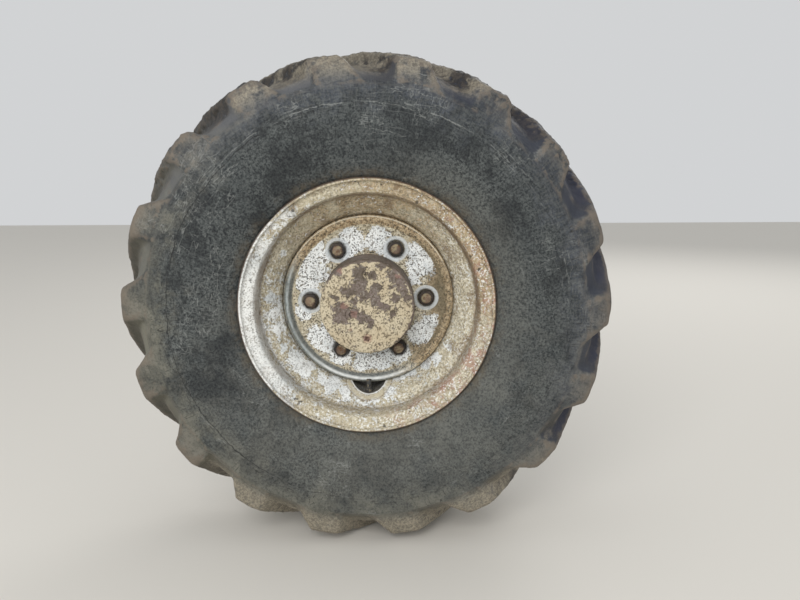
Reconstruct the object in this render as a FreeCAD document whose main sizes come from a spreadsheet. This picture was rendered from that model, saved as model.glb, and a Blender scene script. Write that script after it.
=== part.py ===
# Driven front wheel of a site dumper: a 15.3 inch wheel with its traction tyre, bolted to
# a hub that runs on the spindle of a short axle arm. The arm's flange bolts to the machine.
# Frame: +Z up, the wheel's axis along Y, the outer face of the wheel towards -Y.
# The origin is the centre of the arm's mounting face. Sizes in millimetres.

import FreeCAD
import Part
import Sketcher
import math
import os

OUT = "parts"

doc = FreeCAD.newDocument("dumper_wheel")
sheet = doc.addObject("Spreadsheet::Sheet", "sizes")

# Driving dimensions: name, value, meaning
SIZES = [
    ("arm_reach", 220, "arm's mounting face to the wheel's middle plane"),
    ("wheel_offset", 28, "wheel's middle plane to the disc's bolting face"),
    # Rim, 9.00 x 15.3
    ("flange_radius", 217, "outer edge of the rim flanges"),
    ("rim_width", 228.6, "between the flanges, where the beads sit"),
    ("lip_width", 13.7, "how far each flange curls out past the bead"),
    ("lip_round", 9, "radius of that curl, on the tyre's side"),
    ("lip_tip", 1.5, "rounding of the curl's tip"),
    ("heel_round", 7, "radius between flange and bead seat, on the tyre's side"),
    ("rim_wall", 5.5, "thickness of the rolled rim"),
    ("flange_height", 22.7, "outer edge of the flange to the bead seat at its heel"),
    ("seat_drop", 2.3, "fall of the bead seat over its length"),
    ("seat_length", 28, "length of each bead seat"),
    ("hump_width", 12, "round groove rolled into the rim beside each seat"),
    ("hump_rise", 3, "depth of that groove"),
    ("well_radius", 157, "outside of the drop centre"),
    ("well_front", 38, "middle plane to the drop centre's outer end"),
    ("slope_bulge", 4, "how far the outer slope is rounded out at its middle"),
    ("well_back", 20, "middle plane to the drop centre's inner end"),
    # Valve recess in the rim's outer slope
    ("recess_radius", 34, "half the width of the valve recess"),
    ("recess_rise", 19, "centre of the recess nearer the axis than the drop centre's wall"),
    ("recess_wall", 5, "thickness of its pressed wall"),
    ("recess_floor", 9, "middle plane to the recess floor"),
    # Disc
    ("disc_wall", 10, "thickness of the disc at the bolts"),
    ("disc_flange_wall", 7, "thickness of the disc where it is welded in the well"),
    ("disc_face_radius", 131, "outer edge of the flat face"),
    ("disc_bead_radius", 145, "crown of the rounded shoulder"),
    ("disc_bead_rise", 7, "height of the shoulder above the face"),
    ("disc_bead_round", 5, "half the width of its crown"),
    ("disc_skirt", 5, "middle plane to the inner end of the welded skirt"),
    ("weld_gap", 0.15, "skirt to well"),
    ("pilot_gap", 0.25, "disc bore to hub nose"),
    # Bolts of the wheel, 6 x M18 x 1.5
    ("stud_circle", 205, "bolt circle diameter"),
    ("stud_count", 6, "studs round the hub"),
    ("stud_phase", 1.3, "angle of the first stud from the horizontal"),
    ("stud_radius", 9, "stud thread"),
    ("stud_proud", 11, "stud end to the disc's face"),
    ("stud_point", 1.8, "chamfer of the stud's end"),
    ("stud_head_radius", 13, "head behind the hub flange"),
    ("stud_head", 8, "thickness of the head"),
    ("press_gap", 0.15, "stud to hub flange"),
    ("nut_flats", 24, "across the flats of the wheel nut"),
    ("nut_height", 17, "wheel nut with its cone"),
    ("nut_cone", 5, "length of the cone"),
    ("nut_cone_fall", 2.9, "how much the cone narrows"),
    ("nut_bore_gap", 0.1, "stud to nut"),
    ("bore_depth", 4, "counterbore round each nut"),
    ("bore_radius", 15, "radius of that counterbore"),
    ("bore_edge", 2.5, "chamfer round it"),
    ("seat_gap", 0.1, "nut cone to its seat"),
    # Hub
    ("hub_nose_radius", 80.25, "pilot that carries the disc, and the hub's drum"),
    ("hub_nose_length", 78, "disc face to the end plate's face"),
    ("cover_wall", 16, "thickness of the end plate"),
    ("cover_round", 4, "rounded edge of the end plate"),
    ("hub_flange_radius", 122, "flange that carries the studs"),
    ("hub_flange_wall", 20, "thickness of that flange"),
    ("hub_drum_radius", 87, "bearing housing behind the flange"),
    ("hub_drum_length", 64, "flange to the rear end of the hub"),
    ("hub_drum_taper", 7, "how much the housing narrows to the rear"),
    ("hub_edge", 2, "chamfer of the hub's edges"),
    ("hub_fillet", 2, "fillet between the stud flange and the bearing housing"),
    ("hub_seal_radius", 62, "seal in the rear of the hub"),
    ("hub_seal_wall", 10, "thickness of the seal"),
    ("screw_circle", 55, "cover screws from the axis"),
    ("screw_radius", 8, "countersunk head"),
    ("screw_length", 12, "screw in the cover"),
    ("screw_socket", 8, "across the flats of its hexagon socket"),
    ("screw_socket_depth", 5, "depth of that socket"),
    ("plug_place", 29, "oil plug from the axis"),
    ("plug_angle", 207, "its angle from the horizontal"),
    ("plug_radius", 11, "oil plug"),
    ("plug_depth", 10, "plug in the cover"),
    ("plug_socket", 10, "across the flats of its hexagon socket"),
    ("plug_socket_depth", 5, "depth of that socket"),
    ("fit_gap", 0.1, "screws and plug in their holes"),
    # Spindle, axle arm and half shaft
    ("journal_radius", 44.95, "spindle inside the hub"),
    ("journal_length", 81, "journal inside the hub"),
    ("journal_gap", 0.05, "running clearance of the hub on the journal"),
    ("hub_run", 8, "rear end of the hub to the spindle flange"),
    ("hub_floor_gap", 5.5, "journal end to the bottom of the hub's bore"),
    ("spindle_bore", 24, "bore of the spindle"),
    ("arm_flange_radius", 88, "flanges of spindle and arm where they bolt together"),
    ("arm_flange_wall", 18, "thickness of each of these flanges"),
    ("arm_bolt_circle", 150, "bolt circle diameter of that joint"),
    ("arm_bolt_count", 8, "bolts in that joint"),
    ("arm_bolt_radius", 7, "their shanks"),
    ("arm_bolt_flats", 21, "across the flats of their heads"),
    ("arm_bolt_head", 9, "height of their heads"),
    ("arm_neck_radius", 60, "arm next to the spindle flange"),
    ("arm_tube_radius", 50, "arm at its middle"),
    ("arm_taper", 40, "length over which the arm narrows"),
    ("arm_bore", 30, "bore of the arm"),
    ("mount_radius", 100, "flange that bolts to the machine"),
    ("mount_wall", 18, "thickness of the mounting flange"),
    ("mount_circle", 170, "its bolt circle diameter"),
    ("mount_count", 8, "its bolt holes"),
    ("mount_hole", 8.5, "radius of its bolt holes"),
    ("mount_root", 14, "fillet cone between arm and mounting flange"),
    ("spigot_radius", 58, "pilot that centres the arm"),
    ("spigot_length", 6, "how far the pilot stands past the face"),
    ("rib_count", 4, "ribs between arm and mounting flange"),
    ("rib_wall", 10, "thickness of a rib"),
    ("rib_length", 60, "length of a rib along the arm"),
    ("rib_height", 20, "rib at the mounting flange, above the arm"),
    ("shaft_radius", 18, "half shaft"),
    ("shaft_reach", 46, "splined end past the mounting face"),
    ("shaft_seal_wall", 10, "seal round the half shaft"),
    ("shaft_seal_gap", 0.05, "running clearance in that seal"),
    ("spline_length", 38, "length of the splines"),
    ("spline_teeth", 16, "number of splines"),
    ("spline_depth", 1.8, "depth of the splines"),
    # Valve
    ("stem_radius", 5, "valve stem"),
    ("stem_foot_radius", 7, "rubber foot of the stem"),
    ("stem_foot", 6, "height of the foot"),
    ("stem_length", 16, "stem above its foot"),
    ("stem_seat", 1.1, "foot above the lowest line of the recess wall"),
    ("stem_place", 43, "recess floor to the stem's axis"),
    ("cap_radius", 4.6, "valve cap"),
    ("cap_length", 11, "valve cap"),
    # Tyre, 11.5/80-15.3
    ("bead_gap", 0.2, "tyre to rim"),
    ("crown_radius", 425, "lug tops at the middle of the tread"),
    ("crown_arch", 12, "fall of the lug tops from the middle to the shoulder"),
    ("crown_flat", 60, "middle plane to where the lug tops fall faster"),
    ("crown_flat_fall", 3.2, "fall of the lug tops up to there"),
    ("lug_depth", 25, "lug tops to the tread base at the middle"),
    ("tread_half", 118, "middle plane to the shoulder edge"),
    ("base_fall", 12, "fall of the tread base to the shoulder"),
    ("base_half", 108, "middle plane to the edge of the tread base"),
    ("base_flat", 56, "half the width of the level part of the tread base"),
    ("casing_wall", 16, "thickness of the casing"),
    ("widest_drop", 122, "lug tops to where the tyre is widest"),
    ("sidewall_half", 145, "half of the tyre's width there"),
    ("lug_reach", 63, "lug tops to the lower end of the lugs on the sidewall"),
    ("lug_foot_half", 137, "middle plane to the sidewall there"),
    ("sidewall_lower_half", 138.5, "middle plane to the sidewall halfway down to the rim"),
    ("sidewall_upper_half", 142.5, "middle plane to the sidewall halfway up to the lugs"),
    ("bead_height", 19.7, "straight part of the bead above its seat"),
    ("bead_width", 26, "width of the bead"),
    ("lip_clearance", 2.5, "tyre outside the rim flange's edge"),
    ("lug_count", 18, "lugs on each side"),
    ("lug_phase", 2.2, "angle of the first lug's leading edge"),
    ("lug_width", 38, "top of a lug round the tyre at the shoulder"),
    ("lug_skew", 104, "how far the lug runs round on its way to the middle"),
    ("lug_cross", 14, "how far the lug's nose passes the middle plane"),
    ("nose_width", 34, "top of a lug round the tyre at its nose"),
    ("lug_out", 150, "outer end of the lug's blank, past the sidewall"),
    ("lug_turn", 112, "middle plane to the turn of the lug's leading edge"),
    ("lug_draft", 22, "how much a lug widens to each side from top to root"),
    ("lug_buttress", 38, "how much it widens to the rear at the shoulder"),
    ("lug_root_drop", 80, "lug tops to the plane of the wide root of the lug's blank"),
    ("lug_over", 7, "narrow top of the blank past the lug tops"),
]

for row, (alias, value, meaning) in enumerate(SIZES, start=1):
    sheet.set("A%d" % row, alias)
    sheet.set("B%d" % row, str(value))
    sheet.set("C%d" % row, meaning)
    sheet.setAlias("B%d" % row, alias)
doc.recompute()


def size(alias):
    """Value of one cell of the sheet."""
    return float(sheet.get(alias))


def amount(words):
    """Value of a sum such as 'rim_width / 2 + lip_width', read from the sheet."""
    total, sign = 0.0, 1
    operator, term = None, None
    for word in words.split() + ["+"]:
        if word in ("+", "-"):
            if term is not None:
                total += sign * term
                sign = 1
            sign = -sign if word == "-" else sign
            term = None
        elif word in ("*", "/"):
            operator = word
        else:
            number = size(word) if word[0].isalpha() else float(word)
            if operator == "*":
                term *= number
            elif operator == "/":
                term /= number
            else:
                term = number
            operator = None
    return total


def formula(words):
    """The same sum as an expression that refers to the sheet."""
    return " ".join("sizes." + word if word[0].isalpha() else word for word in words.split())


def bind(thing, prop, words):
    """Binds one property of an object to a sum of sizes."""
    thing.setExpression(prop, formula(words))


def plane_of(body, role):
    """Origin plane of a body, by its role."""
    return [item for item in body.Origin.OriginFeatures if item.Role == role][0]


def new_body(label, along="0"):
    """Empty body with its frame moved along the wheel's axis."""
    body = doc.addObject("PartDesign::Body", label)
    body.Label = label
    bind(body, ".Placement.Base.y", along)
    return body


def pin_point(sketch, geometry, end, across, up):
    """Fixes one point of a sketch at two sums of sizes."""
    for kind, words in (("DistanceX", across), ("DistanceY", up)):
        number = sketch.addConstraint(
            Sketcher.Constraint(kind, -1, 1, geometry, end, amount(words)))
        sketch.setExpression("Constraints[%d]" % number, formula(words))


def outline(sketch, points):
    """Closed outline in a sketch. A point is (across, up) in words, and a point with a
    third and fourth entry is reached by an arc through the place that these name."""
    here = [FreeCAD.Vector(amount(p[0]), amount(p[1]), 0) for p in points]
    first_ends = []
    for index, point in enumerate(points):
        start, finish = here[index - 1], here[index]
        if len(point) == 2:
            edge = sketch.addGeometry(Part.LineSegment(start, finish), False)
        else:
            via = FreeCAD.Vector(amount(point[2]), amount(point[3]), 0)
            edge = sketch.addGeometry(Part.Arc(start, via, finish), False)
            mark = sketch.addGeometry(Part.Point(via), True)
            pin_point(sketch, mark, 1, point[2], point[3])
            sketch.addConstraint(Sketcher.Constraint("PointOnObject", mark, 1, edge))
        near = (sketch.getPoint(edge, 1) - start).Length < (sketch.getPoint(edge, 2) - start).Length
        first_ends.append((edge, 1 if near else 2))
    for index, (edge, end) in enumerate(first_ends):
        before, before_end = first_ends[index - 1]
        sketch.addConstraint(Sketcher.Constraint("Coincident", before, 3 - before_end, edge, end))
        across, up = points[index - 1][:2]
        pin_point(sketch, edge, end, across, up)
    return sketch


def sketch_in(body, name, role="XY_Plane"):
    """New sketch on one of a body's origin planes."""
    sketch = body.newObject("Sketcher::SketchObject", name)
    sketch.AttachmentSupport = (plane_of(body, role), [""])
    sketch.MapMode = "FlatFace"
    return sketch


def turned(body, name, points, kind="PartDesign::Revolution"):
    """Ring or shaft turned about the wheel's axis. Points are (radius, along the axis)."""
    sketch = outline(sketch_in(body, name + "_outline"), points)
    feature = body.newObject(kind, name)
    feature.Profile = sketch
    feature.ReferenceAxis = (sketch, ["V_Axis"])
    feature.Angle = 360
    sketch.Visibility = False
    return feature


def drilled(body, name, radius, across, out, depth, count=None, phase=None):
    """Round hole along the axis, or a ring of them. It starts at the distance out in front
    of the body's middle plane and runs inwards by its depth."""
    sketch = sketch_in(body, name + "_circle", "XZ_Plane")
    centre = FreeCAD.Vector(amount(across), 0, 0)
    circle = sketch.addGeometry(
        Part.Circle(centre, FreeCAD.Vector(0, 0, 1), amount(radius)), False)
    pin_point(sketch, circle, 3, across, "0")
    number = sketch.addConstraint(Sketcher.Constraint("Radius", circle, amount(radius)))
    sketch.setExpression("Constraints[%d]" % number, formula(radius))
    bind(sketch, ".AttachmentOffset.Base.z", out)
    if phase:
        bind(sketch, ".AttachmentOffset.Rotation.Angle", phase)
    sketch.Visibility = False
    pocket = body.newObject("PartDesign::Pocket", name)
    pocket.Profile = sketch
    bind(pocket, "Length", depth)
    if count:
        pattern = body.newObject("PartDesign::PolarPattern", name + "_ring")
        pattern.Originals = [pocket]
        pattern.Axis = (sketch, ["N_Axis"])
        pattern.Angle = 360
        bind(pattern, "Occurrences", count)
        body.Tip = pattern
    return pocket


def solid(kind, name, **sizes_in_words):
    """Primitive whose sizes are sums of cells."""
    thing = doc.addObject(kind, name)
    for prop, words in sizes_in_words.items():
        bind(thing, prop, words)
    return thing


def joined(label, pieces):
    """Several solids as one."""
    thing = doc.addObject("Part::MultiFuse", label)
    thing.Shapes = pieces
    thing.Label = label
    return thing


def less(label, base, tool):
    """One solid cut by another."""
    thing = doc.addObject("Part::Cut", label)
    thing.Base = base
    thing.Tool = tool
    thing.Label = label
    return thing


OUTWARD = FreeCAD.Rotation(FreeCAD.Vector(1, 0, 0), 90)


def face_outward(thing, radius, angle, along):
    """Turns a solid's own Z towards the outside of the wheel and puts its origin at a
    radius, an angle from the horizontal and a place along the axis."""
    thing.Placement = FreeCAD.Placement(FreeCAD.Vector(0, 0, 0), OUTWARD)
    thing.setExpression(".Placement.Base.x", "(%s) * cos((%s) * 1 deg)" % (radius, angle))
    thing.setExpression(".Placement.Base.y", along)
    thing.setExpression(".Placement.Base.z", "(%s) * sin((%s) * 1 deg)" % (radius, angle))


def opposite(points):
    """The same outline points on the other side of the middle plane."""
    flips = {"+": "-", "-": "+"}
    run = []
    for point in points:
        turned_words = list(point)
        for place in range(1, len(point), 2):
            words = [flips.get(word, word) for word in point[place].split()]
            turned_words[place] = "0 - " + " ".join(words)
        run.append(tuple(turned_words))
    return run


def walked_back(points):
    """The same run from its last point to its first, with its arcs."""
    run = [points[-1][:2]]
    for point, after in zip(points[-2::-1], points[:0:-1]):
        run.append(point[:2] + after[2:])
    return run


nodes = {}
WHEEL = "0 - arm_reach"

# Of a quarter arc's radius: its middle to the corner, and the rest
NEAR = " * 0.292893"
REST = " * 0.707107"
# Part of a wall by which the inside of a slope lies further out along the axis
SLOPE = " + rim_wall * 0.4"

# Rim: rolled profile, symmetrical flanges and seats, drop centre nearer the front.
# Each run starts at the tip of the flange. Its small rounds are two flats, to keep faces few
rim = new_body("rim", WHEEL)
TYRE_SIDE = [
    ("flange_radius", "rim_width / 2 + lip_width - lip_tip"),
    ("flange_radius", "rim_width / 2 + lip_round"),
    ("flange_radius - lip_round" + NEAR, "rim_width / 2 + lip_round" + NEAR),
    ("flange_radius - lip_round", "rim_width / 2"),
    ("flange_radius - flange_height + heel_round", "rim_width / 2"),
    ("flange_radius - flange_height + heel_round" + NEAR, "rim_width / 2 - heel_round" + NEAR),
    ("flange_radius - flange_height", "rim_width / 2 - heel_round"),
    ("flange_radius - flange_height - seat_drop", "rim_width / 2 - seat_length"),
    ("flange_radius - flange_height - seat_drop + hump_rise", "rim_width / 2 - seat_length - hump_width / 2"),
    ("flange_radius - flange_height - seat_drop", "rim_width / 2 - seat_length - hump_width"),
]
OPEN_SIDE = [
    ("flange_radius - rim_wall", "rim_width / 2 + lip_width"),
    ("flange_radius - rim_wall", "rim_width / 2 + lip_round"),
    ("flange_radius - lip_round" + NEAR + " - rim_wall" + REST,
     "rim_width / 2 + lip_round" + NEAR + " + rim_wall" + REST),
    ("flange_radius - lip_round", "rim_width / 2 + rim_wall"),
    ("flange_radius - flange_height + heel_round", "rim_width / 2 + rim_wall"),
    ("flange_radius - flange_height + heel_round" + NEAR + " - rim_wall" + REST,
     "rim_width / 2 - heel_round" + NEAR + " + rim_wall" + REST),
    ("flange_radius - flange_height - rim_wall", "rim_width / 2 - heel_round"),
    ("flange_radius - flange_height - seat_drop - rim_wall", "rim_width / 2 - seat_length"),
    ("flange_radius - flange_height - seat_drop - rim_wall + hump_rise",
     "rim_width / 2 - seat_length - hump_width / 2"),
    ("flange_radius - flange_height - seat_drop - rim_wall",
     "rim_width / 2 - seat_length - hump_width" + SLOPE),
]
SLOPE_CROWN = ("flange_radius / 2 - flange_height / 2 - seat_drop / 2 + well_radius / 2"
               " - slope_bulge * 0.7")
SLOPE_OUT = ("0 - rim_width / 4 + seat_length / 2 + hump_width / 2 - well_front / 2"
             " - slope_bulge * 0.7")
turned(rim, "rim_blank", opposite(TYRE_SIDE) + [
    (SLOPE_CROWN, SLOPE_OUT),
    ("well_radius", "0 - well_front"),
    ("well_radius", "well_back"),
] + walked_back(TYRE_SIDE) + [
    ("flange_radius - lip_tip", "rim_width / 2 + lip_width"),
    ("disc_bead_radius", "rim_width / 2 + lip_width"),
    ("disc_bead_radius", "0 - rim_width / 2 - lip_width"),
    ("flange_radius - lip_tip", "0 - rim_width / 2 - lip_width"),
])
recess_outline = sketch_in(rim, "recess_outline", "XZ_Plane")
circle = recess_outline.addGeometry(
    Part.Circle(FreeCAD.Vector(0, -amount("well_radius - rim_wall - recess_rise"), 0),
                FreeCAD.Vector(0, 0, 1), amount("recess_radius + recess_wall")), False)
pin_point(recess_outline, circle, 3, "0", "0 - well_radius + rim_wall + recess_rise")
number = recess_outline.addConstraint(
    Sketcher.Constraint("Radius", circle, amount("recess_radius + recess_wall")))
recess_outline.setExpression("Constraints[%d]" % number, formula("recess_radius + recess_wall"))
bind(recess_outline, ".AttachmentOffset.Base.z", "recess_floor - recess_wall")
boss = rim.newObject("PartDesign::Pad", "recess_boss")
boss.Profile = recess_outline
bind(boss, "Length", "rim_width / 2 - seat_length - recess_floor + recess_wall")
recess_outline.Visibility = False
RECESS_INSIDE = "well_radius - rim_wall - recess_rise - recess_radius - recess_wall * 2"
turned(rim, "rim_inside", opposite(OPEN_SIDE) + [
    (SLOPE_CROWN + " - rim_wall * 0.7", SLOPE_OUT + " - rim_wall * 0.7"),
    ("well_radius - rim_wall", "0 - well_front - rim_wall * 0.4"),
    ("well_radius - rim_wall", "well_back" + SLOPE),
] + walked_back(OPEN_SIDE) + [
    (RECESS_INSIDE, "rim_width / 2 + lip_width"),
    (RECESS_INSIDE, "0 - rim_width / 2 - lip_width"),
], "PartDesign::Groove")
valve_circle = sketch_in(rim, "recess_inside", "XZ_Plane")
circle = valve_circle.addGeometry(
    Part.Circle(FreeCAD.Vector(0, -amount("well_radius - rim_wall - recess_rise"), 0),
                FreeCAD.Vector(0, 0, 1), amount("recess_radius")), False)
pin_point(valve_circle, circle, 3, "0", "0 - well_radius + rim_wall + recess_rise")
number = valve_circle.addConstraint(Sketcher.Constraint("Radius", circle, amount("recess_radius")))
valve_circle.setExpression("Constraints[%d]" % number, formula("recess_radius"))
bind(valve_circle, ".AttachmentOffset.Base.z", "rim_width / 2")
valve_circle.Visibility = False
recess = rim.newObject("PartDesign::Pocket", "valve_recess")
recess.Profile = valve_circle
bind(recess, "Length", "rim_width / 2 - recess_floor")
nodes["rim"] = rim


# Disc: pressed dish with a rounded shoulder, its skirt welded in the drop centre
disc = new_body("disc", WHEEL)
turned(disc, "disc_dish", [
    ("hub_nose_radius + pilot_gap", "0 - wheel_offset - disc_wall"),
    ("disc_face_radius", "0 - wheel_offset - disc_wall"),
    ("disc_bead_radius - disc_bead_round",
     "0 - wheel_offset - disc_wall - disc_bead_rise + disc_bead_round / 3"),
    ("disc_bead_radius", "0 - wheel_offset - disc_wall - disc_bead_rise"),
    ("disc_bead_radius + disc_bead_round",
     "0 - wheel_offset - disc_wall - disc_bead_rise + disc_bead_round / 3"),
    ("well_radius - rim_wall - weld_gap", "0 - wheel_offset - disc_wall"),
    ("well_radius - rim_wall - weld_gap", "0 - disc_skirt"),
    ("well_radius - rim_wall - weld_gap - disc_flange_wall", "0 - disc_skirt"),
    ("well_radius - rim_wall - weld_gap - disc_flange_wall", "0 - wheel_offset"),
    ("hub_nose_radius + pilot_gap", "0 - wheel_offset"),
])
drilled(disc, "nut_space", "bore_radius", "stud_circle / 2", "wheel_offset + disc_wall",
        "bore_depth", "stud_count", "stud_phase")
drilled(disc, "stud_hole", "nut_flats / 2 - nut_cone_fall + seat_gap", "stud_circle / 2",
        "wheel_offset + disc_wall", "disc_wall", "stud_count", "stud_phase")


def countersunk(body, name, small, large, depth, out):
    """Ring of cones round the studs, cut from a distance in front of the middle plane."""
    cone = body.newObject("PartDesign::SubtractiveCone", name)
    cone.AttachmentSupport = (plane_of(body, "XZ_Plane"), [""])
    cone.MapMode = "FlatFace"
    bind(cone, "Radius1", small)
    bind(cone, "Radius2", large)
    bind(cone, "Height", depth)
    cone.setExpression(".AttachmentOffset.Base.x",
                       "sizes.stud_circle / 2 * cos(sizes.stud_phase * 1 deg)")
    cone.setExpression(".AttachmentOffset.Base.y",
                       "sizes.stud_circle / 2 * sin(sizes.stud_phase * 1 deg)")
    bind(cone, ".AttachmentOffset.Base.z", out + " - " + depth)
    ring = body.newObject("PartDesign::PolarPattern", name + "_ring")
    ring.Originals = [cone]
    ring.Axis = (plane_of(body, "Y_Axis"), [""])
    ring.Angle = 360
    bind(ring, "Occurrences", "stud_count")
    body.Tip = ring


countersunk(disc, "nut_seat", "nut_flats / 2 - nut_cone_fall + seat_gap",
            "nut_flats / 2 + seat_gap", "nut_cone", "wheel_offset + disc_wall - bore_depth")
countersunk(disc, "nut_space_edge", "bore_radius", "bore_radius + bore_edge", "bore_edge",
            "wheel_offset + disc_wall")
nodes["disc"] = disc


# Hub: nose that carries the disc, stud flange and bearing housing
hub = new_body("hub", WHEEL)
turned(hub, "hub_blank", [
    ("0", "0 - wheel_offset - disc_wall - hub_nose_length + cover_wall"),
    ("hub_nose_radius", "0 - wheel_offset - disc_wall - hub_nose_length + cover_wall"),
    ("hub_nose_radius", "0 - wheel_offset"),
    ("hub_flange_radius - hub_edge", "0 - wheel_offset"),
    ("hub_flange_radius", "0 - wheel_offset + hub_edge"),
    ("hub_flange_radius", "0 - wheel_offset + hub_flange_wall - hub_edge"),
    ("hub_flange_radius - hub_edge", "0 - wheel_offset + hub_flange_wall"),
    ("hub_drum_radius + hub_fillet", "0 - wheel_offset + hub_flange_wall"),
    ("hub_drum_radius + hub_fillet" + NEAR, "0 - wheel_offset + hub_flange_wall + hub_fillet" + NEAR),
    ("hub_drum_radius", "0 - wheel_offset + hub_flange_wall + hub_fillet"),
    ("hub_drum_radius", "0 - wheel_offset + hub_flange_wall + hub_drum_length / 2"),
    ("hub_drum_radius - hub_drum_taper", "0 - wheel_offset + hub_flange_wall + hub_drum_length"),
    ("hub_seal_radius", "0 - wheel_offset + hub_flange_wall + hub_drum_length"),
    ("hub_seal_radius", "0 - wheel_offset + hub_flange_wall + hub_drum_length - hub_seal_wall"),
    ("journal_radius + journal_gap",
     "0 - wheel_offset + hub_flange_wall + hub_drum_length - hub_seal_wall"),
    ("journal_radius + journal_gap",
     "0 - wheel_offset + hub_flange_wall + hub_drum_length - journal_length - hub_floor_gap"),
    ("0", "0 - wheel_offset + hub_flange_wall + hub_drum_length - journal_length - hub_floor_gap"),
])
drilled(hub, "press_hole", "stud_radius + press_gap", "stud_circle / 2", "wheel_offset",
        "hub_flange_wall", "stud_count", "stud_phase")
nodes["hub"] = hub

hub_seal = new_body("hub_seal", WHEEL)
turned(hub_seal, "hub_seal_ring", [
    ("journal_radius + journal_gap", "hub_flange_wall + hub_drum_length - wheel_offset"),
    ("hub_seal_radius - press_gap", "hub_flange_wall + hub_drum_length - wheel_offset"),
    ("hub_seal_radius - press_gap",
     "hub_flange_wall + hub_drum_length - wheel_offset - hub_seal_wall"),
    ("journal_radius + journal_gap",
     "hub_flange_wall + hub_drum_length - wheel_offset - hub_seal_wall"),
])
nodes["hub_seal"] = hub_seal


# End plate of the hub with its two countersunk screws and the oil plug
cover = new_body("hub_cover", WHEEL)
END = "wheel_offset + disc_wall + hub_nose_length"
turned(cover, "cover_plate", [
    ("0", "0 - wheel_offset - disc_wall - hub_nose_length"),
    ("hub_nose_radius - cover_round", "0 - wheel_offset - disc_wall - hub_nose_length"),
    ("hub_nose_radius - cover_round" + NEAR,
     "0 - wheel_offset - disc_wall - hub_nose_length + cover_round" + NEAR),
    ("hub_nose_radius", "0 - wheel_offset - disc_wall - hub_nose_length + cover_round"),
    ("hub_nose_radius", "0 - wheel_offset - disc_wall - hub_nose_length + cover_wall"),
    ("0", "0 - wheel_offset - disc_wall - hub_nose_length + cover_wall"),
])
SCREW_ANGLES = (90, 270)
for number, angle in enumerate(SCREW_ANGLES, start=1):
    drilled(cover, "screw_hole_%d" % number, "screw_radius + fit_gap", "screw_circle", END,
            "screw_length + fit_gap", phase=str(angle))
drilled(cover, "plug_hole", "plug_radius + fit_gap", "plug_place", END,
        "plug_depth + fit_gap", phase="plug_angle")
nodes["hub_cover"] = cover

PLATE = "-sizes.arm_reach - sizes.wheel_offset - sizes.disc_wall - sizes.hub_nose_length"


def socket_screw(label, radius, length, flats, socket_depth):
    """Round screw or plug with a hexagon socket in its outer end."""
    blank = solid("Part::Cylinder", label + "_blank", Radius=radius, Height=length)
    hexagon = solid("Part::Prism", label + "_socket", Height=socket_depth)
    hexagon.Polygon = 6
    hexagon.setExpression("Circumradius", "sizes.%s / 2 / cos(30 deg)" % flats)
    bind(hexagon, ".Placement.Base.z", length + " - " + socket_depth)
    return less(label, blank, hexagon)


for number, angle in enumerate(SCREW_ANGLES, start=1):
    screw = socket_screw("cover_screw_%d" % number, "screw_radius", "screw_length",
                         "screw_socket", "screw_socket_depth")
    face_outward(screw, "sizes.screw_circle", str(angle), PLATE + " + sizes.screw_length")
    nodes[screw.Label] = screw
plug = socket_screw("oil_plug", "plug_radius", "plug_depth", "plug_socket", "plug_socket_depth")
face_outward(plug, "sizes.plug_place", "sizes.plug_angle", PLATE + " + sizes.plug_depth")
nodes["oil_plug"] = plug


# Studs pressed through the hub flange, and their cone nuts
STUDS = int(size("stud_count"))
BACK = "-sizes.arm_reach - sizes.wheel_offset + sizes.hub_flange_wall"
SEAT = "-sizes.arm_reach - sizes.wheel_offset - sizes.disc_wall + sizes.bore_depth"
for index in range(STUDS):
    angle = "sizes.stud_phase + %d * 360 / sizes.stud_count" % index
    shank = solid("Part::Cylinder", "stud_shank_%d" % (index + 1), Radius="stud_radius",
                  Height="hub_flange_wall + disc_wall + stud_proud - stud_point")
    point = solid("Part::Cone", "stud_point_%d" % (index + 1), Radius1="stud_radius",
                  Radius2="stud_radius - stud_point", Height="stud_point")
    bind(point, ".Placement.Base.z", "hub_flange_wall + disc_wall + stud_proud - stud_point")
    head = solid("Part::Cylinder", "stud_head_%d" % (index + 1), Radius="stud_head_radius",
                 Height="stud_head")
    bind(head, ".Placement.Base.z", "0 - stud_head")
    stud = joined("wheel_stud_%d" % (index + 1), [shank, head, point])
    face_outward(stud, "sizes.stud_circle / 2", angle, BACK)
    nodes[stud.Label] = stud

    prism = solid("Part::Prism", "nut_prism_%d" % (index + 1), Height="nut_height - nut_cone")
    prism.Polygon = 6
    prism.setExpression("Circumradius", "sizes.nut_flats / 2 / cos(30 deg)")
    corners = solid("Part::Cone", "nut_corners_%d" % (index + 1),
                    Radius1="nut_flats / 2 + nut_height * 1.732 - nut_cone * 1.732",
                    Radius2="nut_flats / 2", Height="nut_height - nut_cone")
    hexagon = doc.addObject("Part::Common", "nut_hexagon_%d" % (index + 1))
    hexagon.Base = prism
    hexagon.Tool = corners
    bore = solid("Part::Cylinder", "nut_thread_%d" % (index + 1),
                 Radius="stud_radius + nut_bore_gap", Height="nut_height + nut_cone")
    cone = solid("Part::Cone", "nut_cone_%d" % (index + 1),
                 Radius1="nut_flats / 2 - nut_cone_fall", Radius2="nut_flats / 2",
                 Height="nut_cone")
    for thing in (bore, cone):
        bind(thing, ".Placement.Base.z", "0 - nut_cone")
    nut = less("wheel_nut_%d" % (index + 1), joined("nut_blank_%d" % (index + 1), [hexagon, cone]),
               bore)
    face_outward(nut, "sizes.stud_circle / 2", angle, SEAT)
    nodes[nut.Label] = nut


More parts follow.
